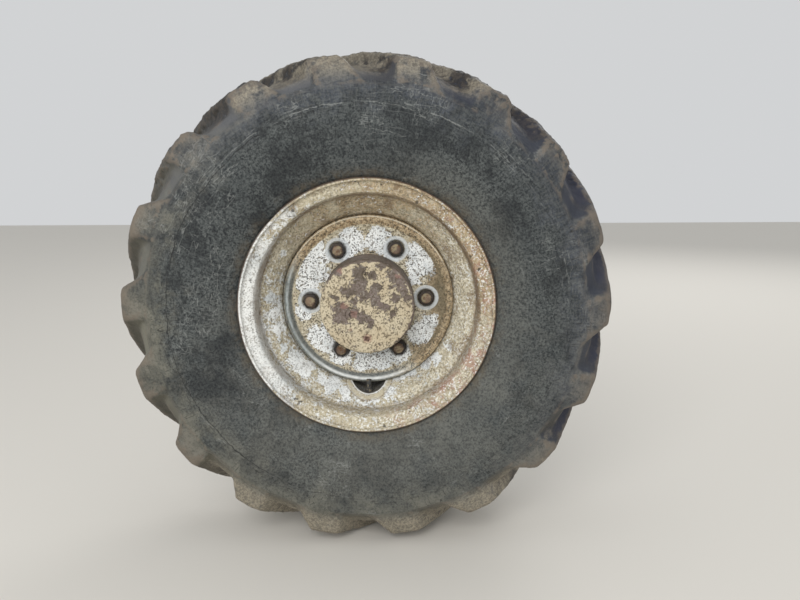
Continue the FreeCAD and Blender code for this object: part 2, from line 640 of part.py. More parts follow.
# Valve in the rim's recess: rubber foot, stem and cap, pointing at the axle
stem_foot = solid("Part::Cylinder", "stem_foot_disc", Radius="stem_foot_radius", Height="stem_foot")
stem_shank = solid("Part::Cylinder", "stem_shank", Radius="stem_radius",
                   Height="stem_foot + stem_length - cap_length")
stem = joined("valve_stem", [stem_foot, stem_shank])
cap = solid("Part::Cylinder", "valve_cap", Radius="cap_radius", Height="cap_length")
STEM_BASE = "0 - well_radius + rim_wall + recess_rise - recess_radius + stem_seat"
for thing, height in ((stem, STEM_BASE),
                      (cap, STEM_BASE + " + stem_foot + stem_length - cap_length")):
    bind(thing, ".Placement.Base.y", "0 - arm_reach - recess_floor - stem_place")
    bind(thing, ".Placement.Base.z", height)
    nodes[thing.Name] = thing


# Tyre: hollow casing on the rim's seats
casing = new_body("casing", WHEEL)
WIDEST = "crown_radius - widest_drop"
LUG_FOOT = "crown_radius - lug_reach"
HALF_DOWN = "crown_radius / 2 - widest_drop / 2 + flange_radius / 2 + lip_clearance / 2"
HALF_UP = "crown_radius - widest_drop / 2 - lug_reach / 2"
BASE_EDGE = "crown_radius - lug_depth - base_fall"
FRONT = [
    ("flange_radius - flange_height - seat_drop + bead_gap * 1.5", "rim_width / 2 - bead_width"),
    ("flange_radius - flange_height + bead_gap", "rim_width / 2 - heel_round"),
    ("flange_radius - flange_height + bead_gap + heel_round" + NEAR,
     "rim_width / 2 - bead_gap - heel_round" + NEAR),
    ("flange_radius - flange_height + heel_round", "rim_width / 2 - bead_gap"),
    ("flange_radius - flange_height + bead_height", "rim_width / 2 - bead_gap"),
    ("flange_radius + lip_clearance", "rim_width / 2 + lip_width / 2"),
    (WIDEST, "sidewall_half", HALF_DOWN, "sidewall_lower_half"),
    (LUG_FOOT, "lug_foot_half", HALF_UP, "sidewall_upper_half"),
    (BASE_EDGE, "base_half"),
    ("crown_radius - lug_depth", "base_flat"),
]
INSIDE = [
    ("flange_radius - flange_height + bead_height", "rim_width / 2 - bead_width"),
    (HALF_DOWN, "sidewall_lower_half - casing_wall"),
    (WIDEST, "sidewall_half - casing_wall"),
    (LUG_FOOT + " - casing_wall / 2", "lug_foot_half - casing_wall"),
    (BASE_EDGE + " - casing_wall", "base_half - casing_wall"),
    ("crown_radius - lug_depth - casing_wall", "base_flat"),
]
turned(casing, "casing_ring",
       opposite(FRONT) + walked_back(FRONT) + INSIDE + walked_back(opposite(INSIDE)))

# Ring that holds every lug: its inside lies in the casing's wall, its outside is the lug tops
lug_ring = new_body("lug_ring", WHEEL)
LUG_TOP = [
    (LUG_FOOT, "lug_foot_half"),
    ("crown_radius - crown_arch", "tread_half"),
    ("crown_radius - crown_flat_fall", "crown_flat"),
]
LUG_ROOT = [
    ("crown_radius - lug_depth - casing_wall / 2", "base_flat"),
    (BASE_EDGE + " - casing_wall / 2", "base_half - casing_wall / 2"),
    (LUG_FOOT + " - casing_wall / 8", "lug_foot_half - casing_wall / 2"),
]
turned(lug_ring, "lug_envelope",
       opposite(LUG_TOP) + [("crown_radius", "0")] + walked_back(LUG_TOP)
       + walked_back(LUG_ROOT) + opposite(LUG_ROOT))
doc.recompute()

# One lug as a bar that widens to its root. Columns: round the tyre and along the axis at
# the top, then how far the root's corner lies from it, in lug drafts
drop = size("lug_buttress")
LUG_CORNERS = [
    (-size("lug_width"), -size("lug_out"), -drop, 0.0),
    (0.0, -size("lug_out"), 0.0, 0.0),
    (0.0, -size("lug_turn"), 0.0, -1.45 * size("lug_draft")),
    (size("lug_skew"), 0.0, 1.7 * size("lug_draft"), 0.37 * size("lug_draft")),
    (size("lug_skew") - size("nose_width"), size("lug_cross"),
     -0.27 * size("lug_draft"), 1.2 * size("lug_draft")),
    (-size("lug_width"), -size("tread_half") + size("lug_cross"), -drop,
     -0.4 * size("lug_draft")),
]
LUG_MIDDLE = (size("lug_skew") - size("lug_width")) / 2
blank_top = size("crown_radius") + size("lug_over")
blank_root = size("crown_radius") - size("lug_root_drop")
top_points, root_points = [], []
for round_tyre, along, wider, further in LUG_CORNERS:
    top_points.append(FreeCAD.Vector(LUG_MIDDLE - round_tyre, along, blank_top))
    root_points.append(FreeCAD.Vector(LUG_MIDDLE - round_tyre - wider, along + further, blank_root))
rings = [Part.makePolygon(points + points[:1]) for points in (root_points, top_points)]
bar = Part.makeLoft(rings, True, True)
envelope = lug_ring.Shape.copy()
envelope.Placement = FreeCAD.Placement()
lug = envelope.common(bar)

AXIS = FreeCAD.Vector(0, -1, 0)
ORIGIN = FreeCAD.Vector(0, 0, 0)
crest = size("crown_radius") - size("crown_arch")
first_turn = size("lug_phase") - 90 + math.degrees(math.asin(LUG_MIDDLE / crest))
pitch = 360 / size("lug_count")
lugs = []
for index in range(int(size("lug_count"))):
    for shape, offset in ((lug, 0), (lug.mirror(ORIGIN, FreeCAD.Vector(0, 1, 0)), pitch / 2)):
        copy = shape.copy()
        copy.rotate(ORIGIN, AXIS, first_turn + offset + pitch * index)
        lugs.append(copy)
bare = casing.Shape.copy()
bare.Placement = FreeCAD.Placement()
tyre = doc.addObject("Part::Feature", "tyre")
tyre.Label = "tyre"
tyre.Shape = bare.fuse(lugs)
bind(tyre, ".Placement.Base.y", WHEEL)
nodes["tyre"] = tyre


# Spindle and axle arm, bolted together
HUB_END = "0 - arm_reach - wheel_offset + hub_flange_wall + hub_drum_length"
JOINT = HUB_END + " + hub_run + arm_flange_wall"
spindle = new_body("spindle")
turned(spindle, "spindle_turning", [
    ("spindle_bore", HUB_END + " - journal_length"),
    ("journal_radius", HUB_END + " - journal_length"),
    ("journal_radius", HUB_END + " + hub_run"),
    ("arm_flange_radius", HUB_END + " + hub_run"),
    ("arm_flange_radius", JOINT),
    ("spindle_bore", JOINT),
])
nodes["spindle"] = spindle

arm = new_body("axle_arm")
turned(arm, "arm_casting", [
    ("arm_bore", JOINT),
    ("arm_flange_radius", JOINT),
    ("arm_flange_radius", JOINT + " + arm_flange_wall"),
    ("arm_neck_radius", JOINT + " + arm_flange_wall"),
    ("arm_tube_radius", JOINT + " + arm_flange_wall + arm_taper"),
    ("arm_tube_radius", "0 - mount_wall - mount_root"),
    ("arm_tube_radius + mount_root", "0 - mount_wall"),
    ("mount_radius", "0 - mount_wall"),
    ("mount_radius", "0"),
    ("spigot_radius", "0"),
    ("spigot_radius", "spigot_length"),
    ("arm_bore", "spigot_length"),
])
rib_outline = outline(sketch_in(arm, "rib_outline"), [
    ("arm_bore + arm_tube_radius / 4", "0 - mount_wall"),
    ("arm_tube_radius + rib_height", "0 - mount_wall"),
    ("arm_tube_radius - 1", "0 - mount_wall - rib_length"),
    ("arm_bore + arm_tube_radius / 4", "0 - mount_wall - rib_length"),
])
rib = arm.newObject("PartDesign::Pad", "rib")
rib.Profile = rib_outline
rib.Midplane = True
bind(rib, "Length", "rib_wall")
rib_outline.Visibility = False
ribs = arm.newObject("PartDesign::PolarPattern", "ribs")
ribs.Originals = [rib]
ribs.Axis = (plane_of(arm, "Y_Axis"), [""])
ribs.Angle = 360
bind(ribs, "Occurrences", "rib_count")
arm.Tip = ribs
drilled(arm, "mount_bolt_hole", "mount_hole", "mount_circle / 2", "mount_wall", "mount_wall",
        "mount_count", "360 / mount_count / 2")
JOINT_OUT = "arm_reach + wheel_offset - hub_flange_wall - hub_drum_length - hub_run"
drilled(arm, "arm_bolt_hole", "arm_bolt_radius + press_gap", "arm_bolt_circle / 2",
        JOINT_OUT + " - arm_flange_wall", "arm_flange_wall", "arm_bolt_count")
nodes["axle_arm"] = arm
drilled(spindle, "spindle_bolt_hole", "arm_bolt_radius + press_gap", "arm_bolt_circle / 2",
        JOINT_OUT, "arm_flange_wall", "arm_bolt_count")

bolts = []
for index in range(int(size("arm_bolt_count"))):
    shank = solid("Part::Cylinder", "arm_bolt_shank_%d" % (index + 1), Radius="arm_bolt_radius",
                  Height="arm_flange_wall + arm_flange_wall")
    head = solid("Part::Prism", "arm_bolt_head_%d" % (index + 1), Height="arm_bolt_head")
    head.Polygon = 6
    head.setExpression("Circumradius", "sizes.arm_bolt_flats / 2 / cos(30 deg)")
    bind(head, ".Placement.Base.z", "0 - arm_bolt_head")
    bolt = joined("arm_bolt_%d" % (index + 1), [shank, head])
    face_outward(bolt, "sizes.arm_bolt_circle / 2", "%d * 360 / sizes.arm_bolt_count" % index,
                 formula(JOINT + " + arm_flange_wall"))
    bolts.append(bolt)
nodes["arm_bolts"] = joined("arm_bolts", bolts)


# Half shaft that drives the hub's gears, and the oil seal round it
shaft = new_body("half_shaft")
turned(shaft, "shaft_turning", [
    ("0", HUB_END + " - journal_length"),
    ("shaft_radius", HUB_END + " - journal_length"),
    ("shaft_radius", "shaft_reach"),
    ("0", "shaft_reach"),
])
drilled(shaft, "spline_groove", "spline_depth", "shaft_radius", "spline_length - shaft_reach",
        "spline_length", "spline_teeth")
nodes["half_shaft"] = shaft

shaft_seal = new_body("shaft_seal")
turned(shaft_seal, "shaft_seal_ring", [
    ("shaft_radius + shaft_seal_gap", "spigot_length - shaft_seal_wall"),
    ("arm_bore - press_gap", "spigot_length - shaft_seal_wall"),
    ("arm_bore - press_gap", "spigot_length"),
    ("shaft_radius + shaft_seal_gap", "spigot_length"),
])
nodes["shaft_seal"] = shaft_seal


# Checks, then one file for each piece
doc.recompute()
for item in doc.Objects:
    if "Invalid" in item.State or "Error" in item.State:
        raise RuntimeError("failed: %s %s" % (item.Name, item.State))
os.makedirs(OUT, exist_ok=True)
for label, piece in nodes.items():
    shape = piece.Shape
    if shape.isNull() or not shape.isValid() or not shape.Solids:
        raise RuntimeError("no valid solid: " + label)
    shape.exportStep(os.path.join(OUT, label + ".step"))
    print("%-14s %3d solids %12.0f mm3" % (label, len(shape.Solids), shape.Volume))
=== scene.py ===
# %% [markdown]
# # Driven front wheel of a site dumper
#
# A wheel that has worked for years: a traction tyre with worn lugs, a white rim with mud,
# rust and bare metal showing through, six studs round a planetary hub, and the short axle
# arm that carries it all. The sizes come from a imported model, the frame. This notebook
# gives every piece its finish, and models again what is too plain there.

import bpy
import bmesh
import math
from mathutils import Matrix, Vector


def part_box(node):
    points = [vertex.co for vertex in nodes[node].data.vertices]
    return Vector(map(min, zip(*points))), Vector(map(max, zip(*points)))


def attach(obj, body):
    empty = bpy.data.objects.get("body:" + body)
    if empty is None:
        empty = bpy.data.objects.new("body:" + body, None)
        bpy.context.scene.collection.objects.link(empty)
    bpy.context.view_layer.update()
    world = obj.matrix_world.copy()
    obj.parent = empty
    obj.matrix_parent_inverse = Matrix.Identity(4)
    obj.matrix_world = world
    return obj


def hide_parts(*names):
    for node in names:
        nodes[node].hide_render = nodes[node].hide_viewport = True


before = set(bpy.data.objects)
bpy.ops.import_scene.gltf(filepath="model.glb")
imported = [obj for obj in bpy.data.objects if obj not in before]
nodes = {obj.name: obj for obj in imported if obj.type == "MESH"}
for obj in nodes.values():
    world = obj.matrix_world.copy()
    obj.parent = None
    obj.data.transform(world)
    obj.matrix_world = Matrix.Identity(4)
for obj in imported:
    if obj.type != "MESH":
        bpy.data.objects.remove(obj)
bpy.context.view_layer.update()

# %% [markdown]
# ## Places
#
# Everything round is turned about one axis, which runs along Y through the origin. So a
# place on the wheel is a radius from that axis and a distance along it. The main ones are read
# from the frame's own pieces. The others were measured in the photograph, and are named at the
# head of the cell that uses them.

# %% Places on the wheel
MM = 0.001


def radius_of(point):
    """Distance from the wheel's axis."""
    return math.hypot(point.x, point.z)


def outer_radius(node):
    """Largest radius of a round node."""
    low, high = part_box(node)
    return max(high.x, high.z, -low.x, -low.z)


crown_radius = outer_radius("tyre")
flange_radius = outer_radius("rim")
plate_radius = outer_radius("hub_cover")
tyre_low, tyre_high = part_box("tyre")
middle = (tyre_low.y + tyre_high.y) / 2
floor_height = tyre_low.z
print("tyre radius %.4f, middle plane at %.4f" % (crown_radius, middle))

# %% [markdown]
# ## Camera
#
# The wheel is seen from about one and a third metres in front of the rim, a little above the
# hub, with a wide lens. The lens and the place were solved from the photograph: the outer
# flange, the six stud ends and the hub plate are circles of known size, and only one camera
# draws all of them where they are.

# %% Camera
LENS = 36
SENSOR_WIDTH = 36
CAMERA_PLACE = Vector((0.035, -1.662, 0.242))
CAMERA_YAW = math.radians(-0.87)
CAMERA_PITCH = math.radians(80.15)
CAMERA_ROLL = math.radians(-0.19)
camera_data = bpy.data.cameras.new("camera")
camera_data.lens = LENS
camera_data.sensor_width = SENSOR_WIDTH
camera = bpy.data.objects.new("camera", camera_data)
bpy.context.scene.collection.objects.link(camera)
camera.matrix_world = (Matrix.Translation(CAMERA_PLACE) @ Matrix.Rotation(CAMERA_YAW, 4, "Z")
                       @ Matrix.Rotation(CAMERA_PITCH, 4, "X")
                       @ Matrix.Rotation(CAMERA_ROLL, 4, "Z"))
bpy.context.scene.camera = camera

# %% [markdown]
# ## Light and floor
#
# The wheel stands in open shade: light comes from the whole sky, and there is no hard shadow
# on it. A bright world does most of that work. One large lamp above and in front gives the
# round forms a lighter and a darker side, and a second lights the back.

# %% Helpers for objects


def deselect():
    """Leaves nothing selected, so that the next operator acts on new things alone."""
    if bpy.context.object and bpy.context.object.mode != "OBJECT":
        bpy.ops.object.mode_set(mode="OBJECT")
    bpy.ops.object.select_all(action="DESELECT")


def take(piece):
    """Makes one object the selected and active one."""
    deselect()
    piece.select_set(True)
    bpy.context.view_layer.objects.active = piece


# %% Floor, world and lamps
FLOOR_SIZE = 14
SKY_TINT = (0.97, 0.985, 1, 1)
SKY_STRENGTH = 0.66
LAMPS = [("front_lamp", (-0.7, -3.3, 1.5), 2.0, 80),
         ("back_lamp", (1.8, 3.0, 2.4), 2.2, 46)]

deselect()
bpy.ops.mesh.primitive_plane_add(size=FLOOR_SIZE, location=(0, 0, floor_height))
floor = bpy.context.object
floor.name = "floor"

world = bpy.data.worlds.new("sky")
bpy.context.scene.world = world
world.use_nodes = True
sky = world.node_tree.nodes["Background"]
sky.inputs["Color"].default_value = SKY_TINT
sky.inputs["Strength"].default_value = SKY_STRENGTH


def add_lamp(name, place, size, power):
    """Square lamp that looks at the middle of the wheel."""
    data = bpy.data.lights.new(name, "AREA")
    data.size = size
    data.energy = power
    lamp = bpy.data.objects.new(name, data)
    bpy.context.scene.collection.objects.link(lamp)
    lamp.location = place
    aim = Vector((0, middle, 0)) - Vector(place)
    lamp.rotation_euler = aim.to_track_quat("-Z", "Y").to_euler()


for lamp_row in LAMPS:
    add_lamp(*lamp_row)

bpy.context.scene.view_settings.view_transform = "Standard"

# %% [markdown]
# ## Finishes
#
# Every finish is worked out from where a point lies: how far from the axis, how high, and
# what a few noises say there. Small functions keep that readable. They make shader nodes,
# and take numbers or other nodes' outputs.
#
# A noise lies mostly between 0.3 and 0.7. So the two limits of a step say how much of a
# surface it covers and how hard its edge is: 0.35 to 0.65 blends evenly, and 0.64 to 0.66
# leaves a few spots with clear outlines. The two numbers after them are what it gives below
# the first limit and past the second.

# %% Helpers for finishes


def colour(red, green, blue):
    """Colour as a picture editor shows it, 0 to 255, made linear."""
    parts = []
    for part in (red, green, blue):
        share = part / 255
        parts.append(share / 12.92 if share <= 0.04045 else ((share + 0.055) / 1.055) ** 2.4)
    return (*parts, 1)


def feed(tree, socket, value):
    """Links a socket to another node's output, or sets its own value."""
    if isinstance(value, bpy.types.NodeSocket):
        tree.links.new(value, socket)
    else:
        socket.default_value = value


def maths(tree, operation, first, second=0.0, clamp=False):
    """One sum on two values."""
    node = tree.nodes.new("ShaderNodeMath")
    node.operation = operation
    node.use_clamp = clamp
    feed(tree, node.inputs[0], first)
    feed(tree, node.inputs[1], second)
    return node.outputs[0]


def step(tree, value, low, high, start=0.0, end=1.0):
    """Soft step from start, at low, to end, at high."""
    node = tree.nodes.new("ShaderNodeMapRange")
    node.interpolation_type = "SMOOTHSTEP"
    feed(tree, node.inputs["Value"], value)
    for name, number in (("From Min", low), ("From Max", high), ("To Min", start), ("To Max", end)):
        node.inputs[name].default_value = number
    return node.outputs["Result"]


def noise(tree, place, scale, detail, rough, twist=0.0):
    """Noise from 0 to 1, with its scale in waves to the metre."""
    node = tree.nodes.new("ShaderNodeTexNoise")
    tree.links.new(place, node.inputs["Vector"])
    node.inputs["Scale"].default_value = scale
    node.inputs["Detail"].default_value = detail
    node.inputs["Roughness"].default_value = rough
    node.inputs["Distortion"].default_value = twist
    return node.outputs["Fac"]


def over(tree, amount, below, above):
    """One colour laid over another by an amount from 0 to 1."""
    node = tree.nodes.new("ShaderNodeMix")
    node.data_type = "RGBA"
    feed(tree, node.inputs["Factor"], amount)
    feed(tree, node.inputs["A"], below)
    feed(tree, node.inputs["B"], above)
    return node.outputs["Result"]


def relief(tree, height, depth, below=None):
    """Bump of a given depth in metres, on top of another bump if one is given."""
    node = tree.nodes.new("ShaderNodeBump")
    node.inputs["Distance"].default_value = depth
    tree.links.new(height, node.inputs["Height"])
    if below is not None:
        tree.links.new(below, node.inputs["Normal"])
    return node.outputs["Normal"]


def polar(tree, place):
    """Radius from the axis, and cosine and sine of the angle round it."""
    split = tree.nodes.new("ShaderNodeSeparateXYZ")
    tree.links.new(place, split.inputs[0])
    flat = tree.nodes.new("ShaderNodeCombineXYZ")
    tree.links.new(split.outputs["X"], flat.inputs["X"])
    tree.links.new(split.outputs["Z"], flat.inputs["Z"])
    length = tree.nodes.new("ShaderNodeVectorMath")
    length.operation = "LENGTH"
    tree.links.new(flat.outputs[0], length.inputs[0])
    radius = length.outputs["Value"]
    across = maths(tree, "DIVIDE", split.outputs["X"], radius)
    up = maths(tree, "DIVIDE", split.outputs["Z"], radius)
    return radius, across, up


def along_axis(tree, place):
    """Place along the wheel's axis."""
    split = tree.nodes.new("ShaderNodeSeparateXYZ")
    tree.links.new(place, split.inputs[0])
    return split.outputs["Y"]


def round_noise(tree, where, ring_scale, turn_scale, detail, rough=0.6, twist=0.0):
    """Noise on radius and angle: it runs in rings or in rays."""
    radius, across, up = where
    join = tree.nodes.new("ShaderNodeCombineXYZ")
    tree.links.new(maths(tree, "MULTIPLY", across, turn_scale), join.inputs[0])
    tree.links.new(maths(tree, "MULTIPLY", up, turn_scale), join.inputs[1])
    tree.links.new(maths(tree, "MULTIPLY", radius, ring_scale), join.inputs[2])
    return noise(tree, join.outputs[0], 1, detail, rough, twist)


def warped(tree, place, scale, reach):
    """Place pushed about by a noise, so that what is drawn on it loses its neat outline."""
    source = tree.nodes.new("ShaderNodeTexNoise")
    tree.links.new(place, source.inputs["Vector"])
    source.inputs["Scale"].default_value = scale
    source.inputs["Detail"].default_value = 4
    centred = tree.nodes.new("ShaderNodeVectorMath")
    centred.operation = "SUBTRACT"
    tree.links.new(source.outputs["Color"], centred.inputs[0])
    centred.inputs[1].default_value = (0.5, 0.5, 0.5)
    push = tree.nodes.new("ShaderNodeVectorMath")
    push.operation = "MULTIPLY_ADD"
    tree.links.new(centred.outputs[0], push.inputs[0])
    push.inputs[1].default_value = (reach, reach, reach)
    tree.links.new(place, push.inputs[2])
    return push.outputs[0]


def part_of(tree, *amounts):
    """Product of some amounts."""
    product = amounts[0]
    for amount in amounts[1:]:
        product = maths(tree, "MULTIPLY", product, amount)
    return product


def weighted(tree, *terms):
    """Sum of some values, each times its own weight."""
    parts = [maths(tree, "MULTIPLY", value, weight) for value, weight in terms]
    total = parts[0]
    for part in parts[1:]:
        total = maths(tree, "ADD", total, part)
    return total


def swing_of(tree, value, reach):
    """Noise made to swing about zero, up to half its reach either way."""
    return maths(tree, "MULTIPLY", maths(tree, "SUBTRACT", value, 0.5), reach)


def band(tree, value, low, high, soft):
    """Amount that is 1 between two values, with soft edges."""
    rise = step(tree, value, low - soft, low + soft)
    fall = step(tree, value, high - soft, high + soft, 1, 0)
    return part_of(tree, rise, fall)


def line_of(tree, value, at, half):
    """Thin line where a noise passes one value."""
    away = maths(tree, "ABSOLUTE", maths(tree, "SUBTRACT", value, at))
    return step(tree, away, half * 0.4, half, 1, 0)


def blend_noise(tree, first, second, contrast):
    """Mean of two noises with its contrast raised."""
    centred = maths(tree, "SUBTRACT", maths(tree, "ADD", first, second), 1.0)
    return maths(tree, "ADD", maths(tree, "MULTIPLY", centred, contrast / 2), 0.5)


def put_on(tree, shader, base, rough, bump):
    """Links colour, roughness and relief to the shader."""
    tree.links.new(base, shader.inputs["Base Color"])
    tree.links.new(rough, shader.inputs["Roughness"])
    tree.links.new(bump, shader.inputs["Normal"])


def new_finish(name):
    """Empty material, its node tree, its shader and the place on the piece."""
    material = bpy.data.materials.new(name)
    material.use_nodes = True
    tree = material.node_tree
    shader = tree.nodes["Principled BSDF"]
    place = tree.nodes.new("ShaderNodeTexCoord").outputs["Object"]
    return material, tree, shader, place


# %% [markdown]
# ### Floor
#
# A plain pale floor, nearly matt.

# %% Floor finish
floor_finish, tree, shader, place = new_finish("pale_floor")
shader.inputs["Base Color"].default_value = colour(214, 210, 202)
shader.inputs["Roughness"].default_value = 0.9
floor.data.materials.append(floor_finish)

# %% [markdown]
# ### Tyre rubber
#
# Old rubber isn't black. Its grain is near black in the pits and pale where dust has dried
# on it, which looks grey from a few steps away. It is finely scratched in rings and in rays,
# cracked a little, and browner next to the rim. The lugs are slate on the right of the wheel
# and khaki on its left, with their edges rubbed brown.

# %% Tyre colours and places
RUBBER_DARK = colour(11, 16, 20)
RUBBER_MID = colour(42, 48, 51)
RUBBER_PALE = colour(90, 94, 92)
SKY_REFLECTION_BLUE = colour(34, 40, 62)
RUBBED_BROWN = colour(114, 103, 90)
LUG_SLATE_DARK = colour(38, 43, 50)
LUG_SLATE = colour(74, 79, 86)
LUG_KHAKI_DARK = colour(72, 72, 65)
LUG_KHAKI = colour(112, 110, 97)
LUG_DUST = colour(122, 116, 105)
POCKET_SLATE = colour(54, 54, 58)
POCKET_SHEEN_GREY = colour(106, 107, 109)
POCKET_SHADE_NAVY = colour(40, 45, 58)
GREY_DUST = colour(108, 108, 101)
DUST_BROWN = colour(92, 82, 66)
DOWN_FACE_SHADE_OLIVE = colour(66, 62, 48)
# The scratch colour also serves for painted highlight, and the crack colour for painted shade.
PALE_SCRATCH_AND_HIGHLIGHT = colour(148, 150, 146)
CRACK_AND_SHADE = colour(18, 18, 19)
MUD_BLACK = colour(28, 25, 22)
MUD_BROWN = colour(62, 54, 45)
MUD_TAN = colour(112, 105, 92)
MUD_DRY = colour(164, 155, 136)

LUG_START = crown_radius - 63 * MM
SHOULDER_RADIUS = crown_radius - 12 * MM
SHOULDER_HALF = 118 * MM
FOOT_HALF = 137 * MM
CROWN_FLAT_HALF = 60 * MM
CROWN_FALL = 0.16
CROWN_EDGE = 372 * MM
INNER_SIDEWALL = (240 * MM, 290 * MM)
SIDEWALL_TO_LUGS = (312 * MM, 374 * MM)
WANDER = 160 * MM
MOULD_LINE = 334 * MM
MOULD_RINGS = (327 * MM, 343 * MM)
CUT_RING = (336 * MM, 364 * MM)

# %% Tyre finish, noises
tyre_finish, tree, shader, place = new_finish("tyre_rubber")
where = polar(tree, place)
radius, across, up = where
out = maths(tree, "ABSOLUTE", maths(tree, "SUBTRACT", along_axis(tree, place), middle))
clouds = noise(tree, place, 6, 5, 0.6)
patches = noise(tree, place, 19, 7, 0.66, 0.3)
coarse = noise(tree, place, 90, 5, 0.7)
grain = noise(tree, place, 250, 6, 0.8)
rings = round_noise(tree, where, 42, 3.5, 3)
rays = round_noise(tree, where, 12, 14, 4)
mould_rings = round_noise(tree, where, 230, 14, 3)
fine_rings = round_noise(tree, where, 320, 26, 4, 0.7)
fine_rays = round_noise(tree, where, 70, 120, 4, 0.7)
hatch = blend_noise(tree, fine_rings, fine_rays, 1.6)
wandering_radius = maths(tree, "ADD", radius, swing_of(tree, patches, WANDER))

# %% Tyre finish, rubber
side = over(tree, step(tree, grain, 0.42, 0.58), RUBBER_DARK, RUBBER_PALE)
side = over(tree, step(tree, hatch, 0.42, 0.62, 0, 0.34), side, RUBBER_PALE)
side = over(tree, step(tree, hatch, 0.32, 0.48, 0.55, 0), side, RUBBER_DARK)
side = over(tree, step(tree, clouds, 0.35, 0.65, 0, 0.35), side, RUBBER_MID)
dark_clouds = step(tree, noise(tree, place, 13, 5, 0.66), 0.48, 0.6)
side = over(tree, part_of(tree, dark_clouds, 0.6), side, RUBBER_DARK)
side = over(tree, step(tree, coarse, 0.34, 0.46, 0.3, 0), side, RUBBER_DARK)

low_left = weighted(tree, (across, -0.75), (up, -0.75), (swing_of(tree, patches, 1.6), 1))
khaki = step(tree, low_left, -0.4, 0.9)
slate_lugs = over(tree, step(tree, patches, 0.35, 0.65), LUG_SLATE_DARK, LUG_SLATE)
khaki_lugs = over(tree, step(tree, patches, 0.35, 0.65), LUG_KHAKI_DARK, LUG_KHAKI)
lugs = over(tree, khaki, slate_lugs, khaki_lugs)
lugs = over(tree, step(tree, grain, 0.38, 0.58, 0.55, 0), lugs, RUBBER_DARK)
lugs = over(tree, step(tree, hatch, 0.42, 0.62, 0, 0.3), lugs, GREY_DUST)
base = over(tree, step(tree, wandering_radius, *SIDEWALL_TO_LUGS), side, lugs)

# %% Tyre finish, dust and scratches
dust_height = maths(tree, "ADD", up, swing_of(tree, patches, -3))
low_dust = step(tree, dust_height, 0.1, -1.3, 0, 0.6)
base = over(tree, part_of(tree, low_dust, step(tree, grain, 0.4, 0.55, 0.4, 1)), base, GREY_DUST)
inner_right = part_of(tree, step(tree, radius, *INNER_SIDEWALL, 1, 0), step(tree, across, -0.1, 0.6))
inner_dust = part_of(tree, inner_right, step(tree, grain, 0.38, 0.58, 0.1, 0.45))
base = over(tree, inner_dust, base, GREY_DUST)

few = step(tree, noise(tree, place, 9, 3, 0.5), 0.53, 0.61)
base = over(tree, part_of(tree, line_of(tree, rings, 0.5, 0.010), few, 0.34), base, PALE_SCRATCH_AND_HIGHLIGHT)
base = over(tree, part_of(tree, line_of(tree, rays, 0.46, 0.008), few, 0.28), base, PALE_SCRATCH_AND_HIGHLIGHT)
base = over(tree, part_of(tree, line_of(tree, patches, 0.5, 0.004), 0.6), base, CRACK_AND_SHADE)
line_zone = band(tree, radius, *MOULD_RINGS, 4 * MM)
dark_rings = part_of(tree, line_zone, step(tree, mould_rings, 0.36, 0.42, 0.45, 0))
pale_rings = part_of(tree, line_zone, step(tree, mould_rings, 0.62, 0.68, 0, 0.25))
base = over(tree, dark_rings, base, CRACK_AND_SHADE)
base = over(tree, pale_rings, base, PALE_SCRATCH_AND_HIGHLIGHT)

# The moulded step where the sidewall meets the lugs: a pale painted highlight along it, mostly at the
# top of the wheel, and beside it a dark painted shadow line on the left half.
line_wave = maths(tree, "ADD", swing_of(tree, coarse, 9 * MM), swing_of(tree, clouds, 22 * MM))
line_at = maths(tree, "ADD", radius, line_wave)
mould_step_highlight = band(tree, line_at, MOULD_LINE, MOULD_LINE + 1.2 * MM, 0.6 * MM)
highlight_share = part_of(tree, step(tree, patches, 0.46, 0.54, 0.1, 1), step(tree, up, 0.6, 0.92, 0.06, 0.62))
base = over(tree, part_of(tree, mould_step_highlight, highlight_share), base, PALE_SCRATCH_AND_HIGHLIGHT)
mould_step_shadow = band(tree, line_at, MOULD_LINE - 5 * MM, MOULD_LINE - 3.6 * MM, 0.7 * MM)
left_half = step(tree, across, 0.1, -0.5)
shadow_share = part_of(tree, left_half, step(tree, patches, 0.42, 0.5, 0.3, 0.9))
base = over(tree, part_of(tree, mould_step_shadow, shadow_share), base, CRACK_AND_SHADE)

cuts = line_of(tree, round_noise(tree, where, 9, 16, 2, 0.5, 0.8), 0.5, 0.009)
cut_zone = part_of(tree, band(tree, radius, *CUT_RING, 5 * MM), step(tree, patches, 0.53, 0.58))
base = over(tree, part_of(tree, cuts, cut_zone, 0.9), base, CRACK_AND_SHADE)
near_rim = step(tree, radius, flange_radius + 2 * MM, flange_radius + 24 * MM, 1, 0)
rim_dust = part_of(tree, near_rim, step(tree, coarse, 0.35, 0.55), step(tree, patches, 0.4, 0.6))
base = over(tree, part_of(tree, rim_dust, 0.65), base, DUST_BROWN)

# %% [markdown]
# A lug's side leans from its foot to its shoulder, and its top falls off past a flat middle.
# How far a point lies under those two planes tells a lug from the hollow beside it. The
# hollows are coloured with painted light: a pale painted sheen on the left, slate and navy
# painted shade on the right, olive painted shade on faces that look down, and a painted blue
# sky reflection on the faces that look up deep in them.

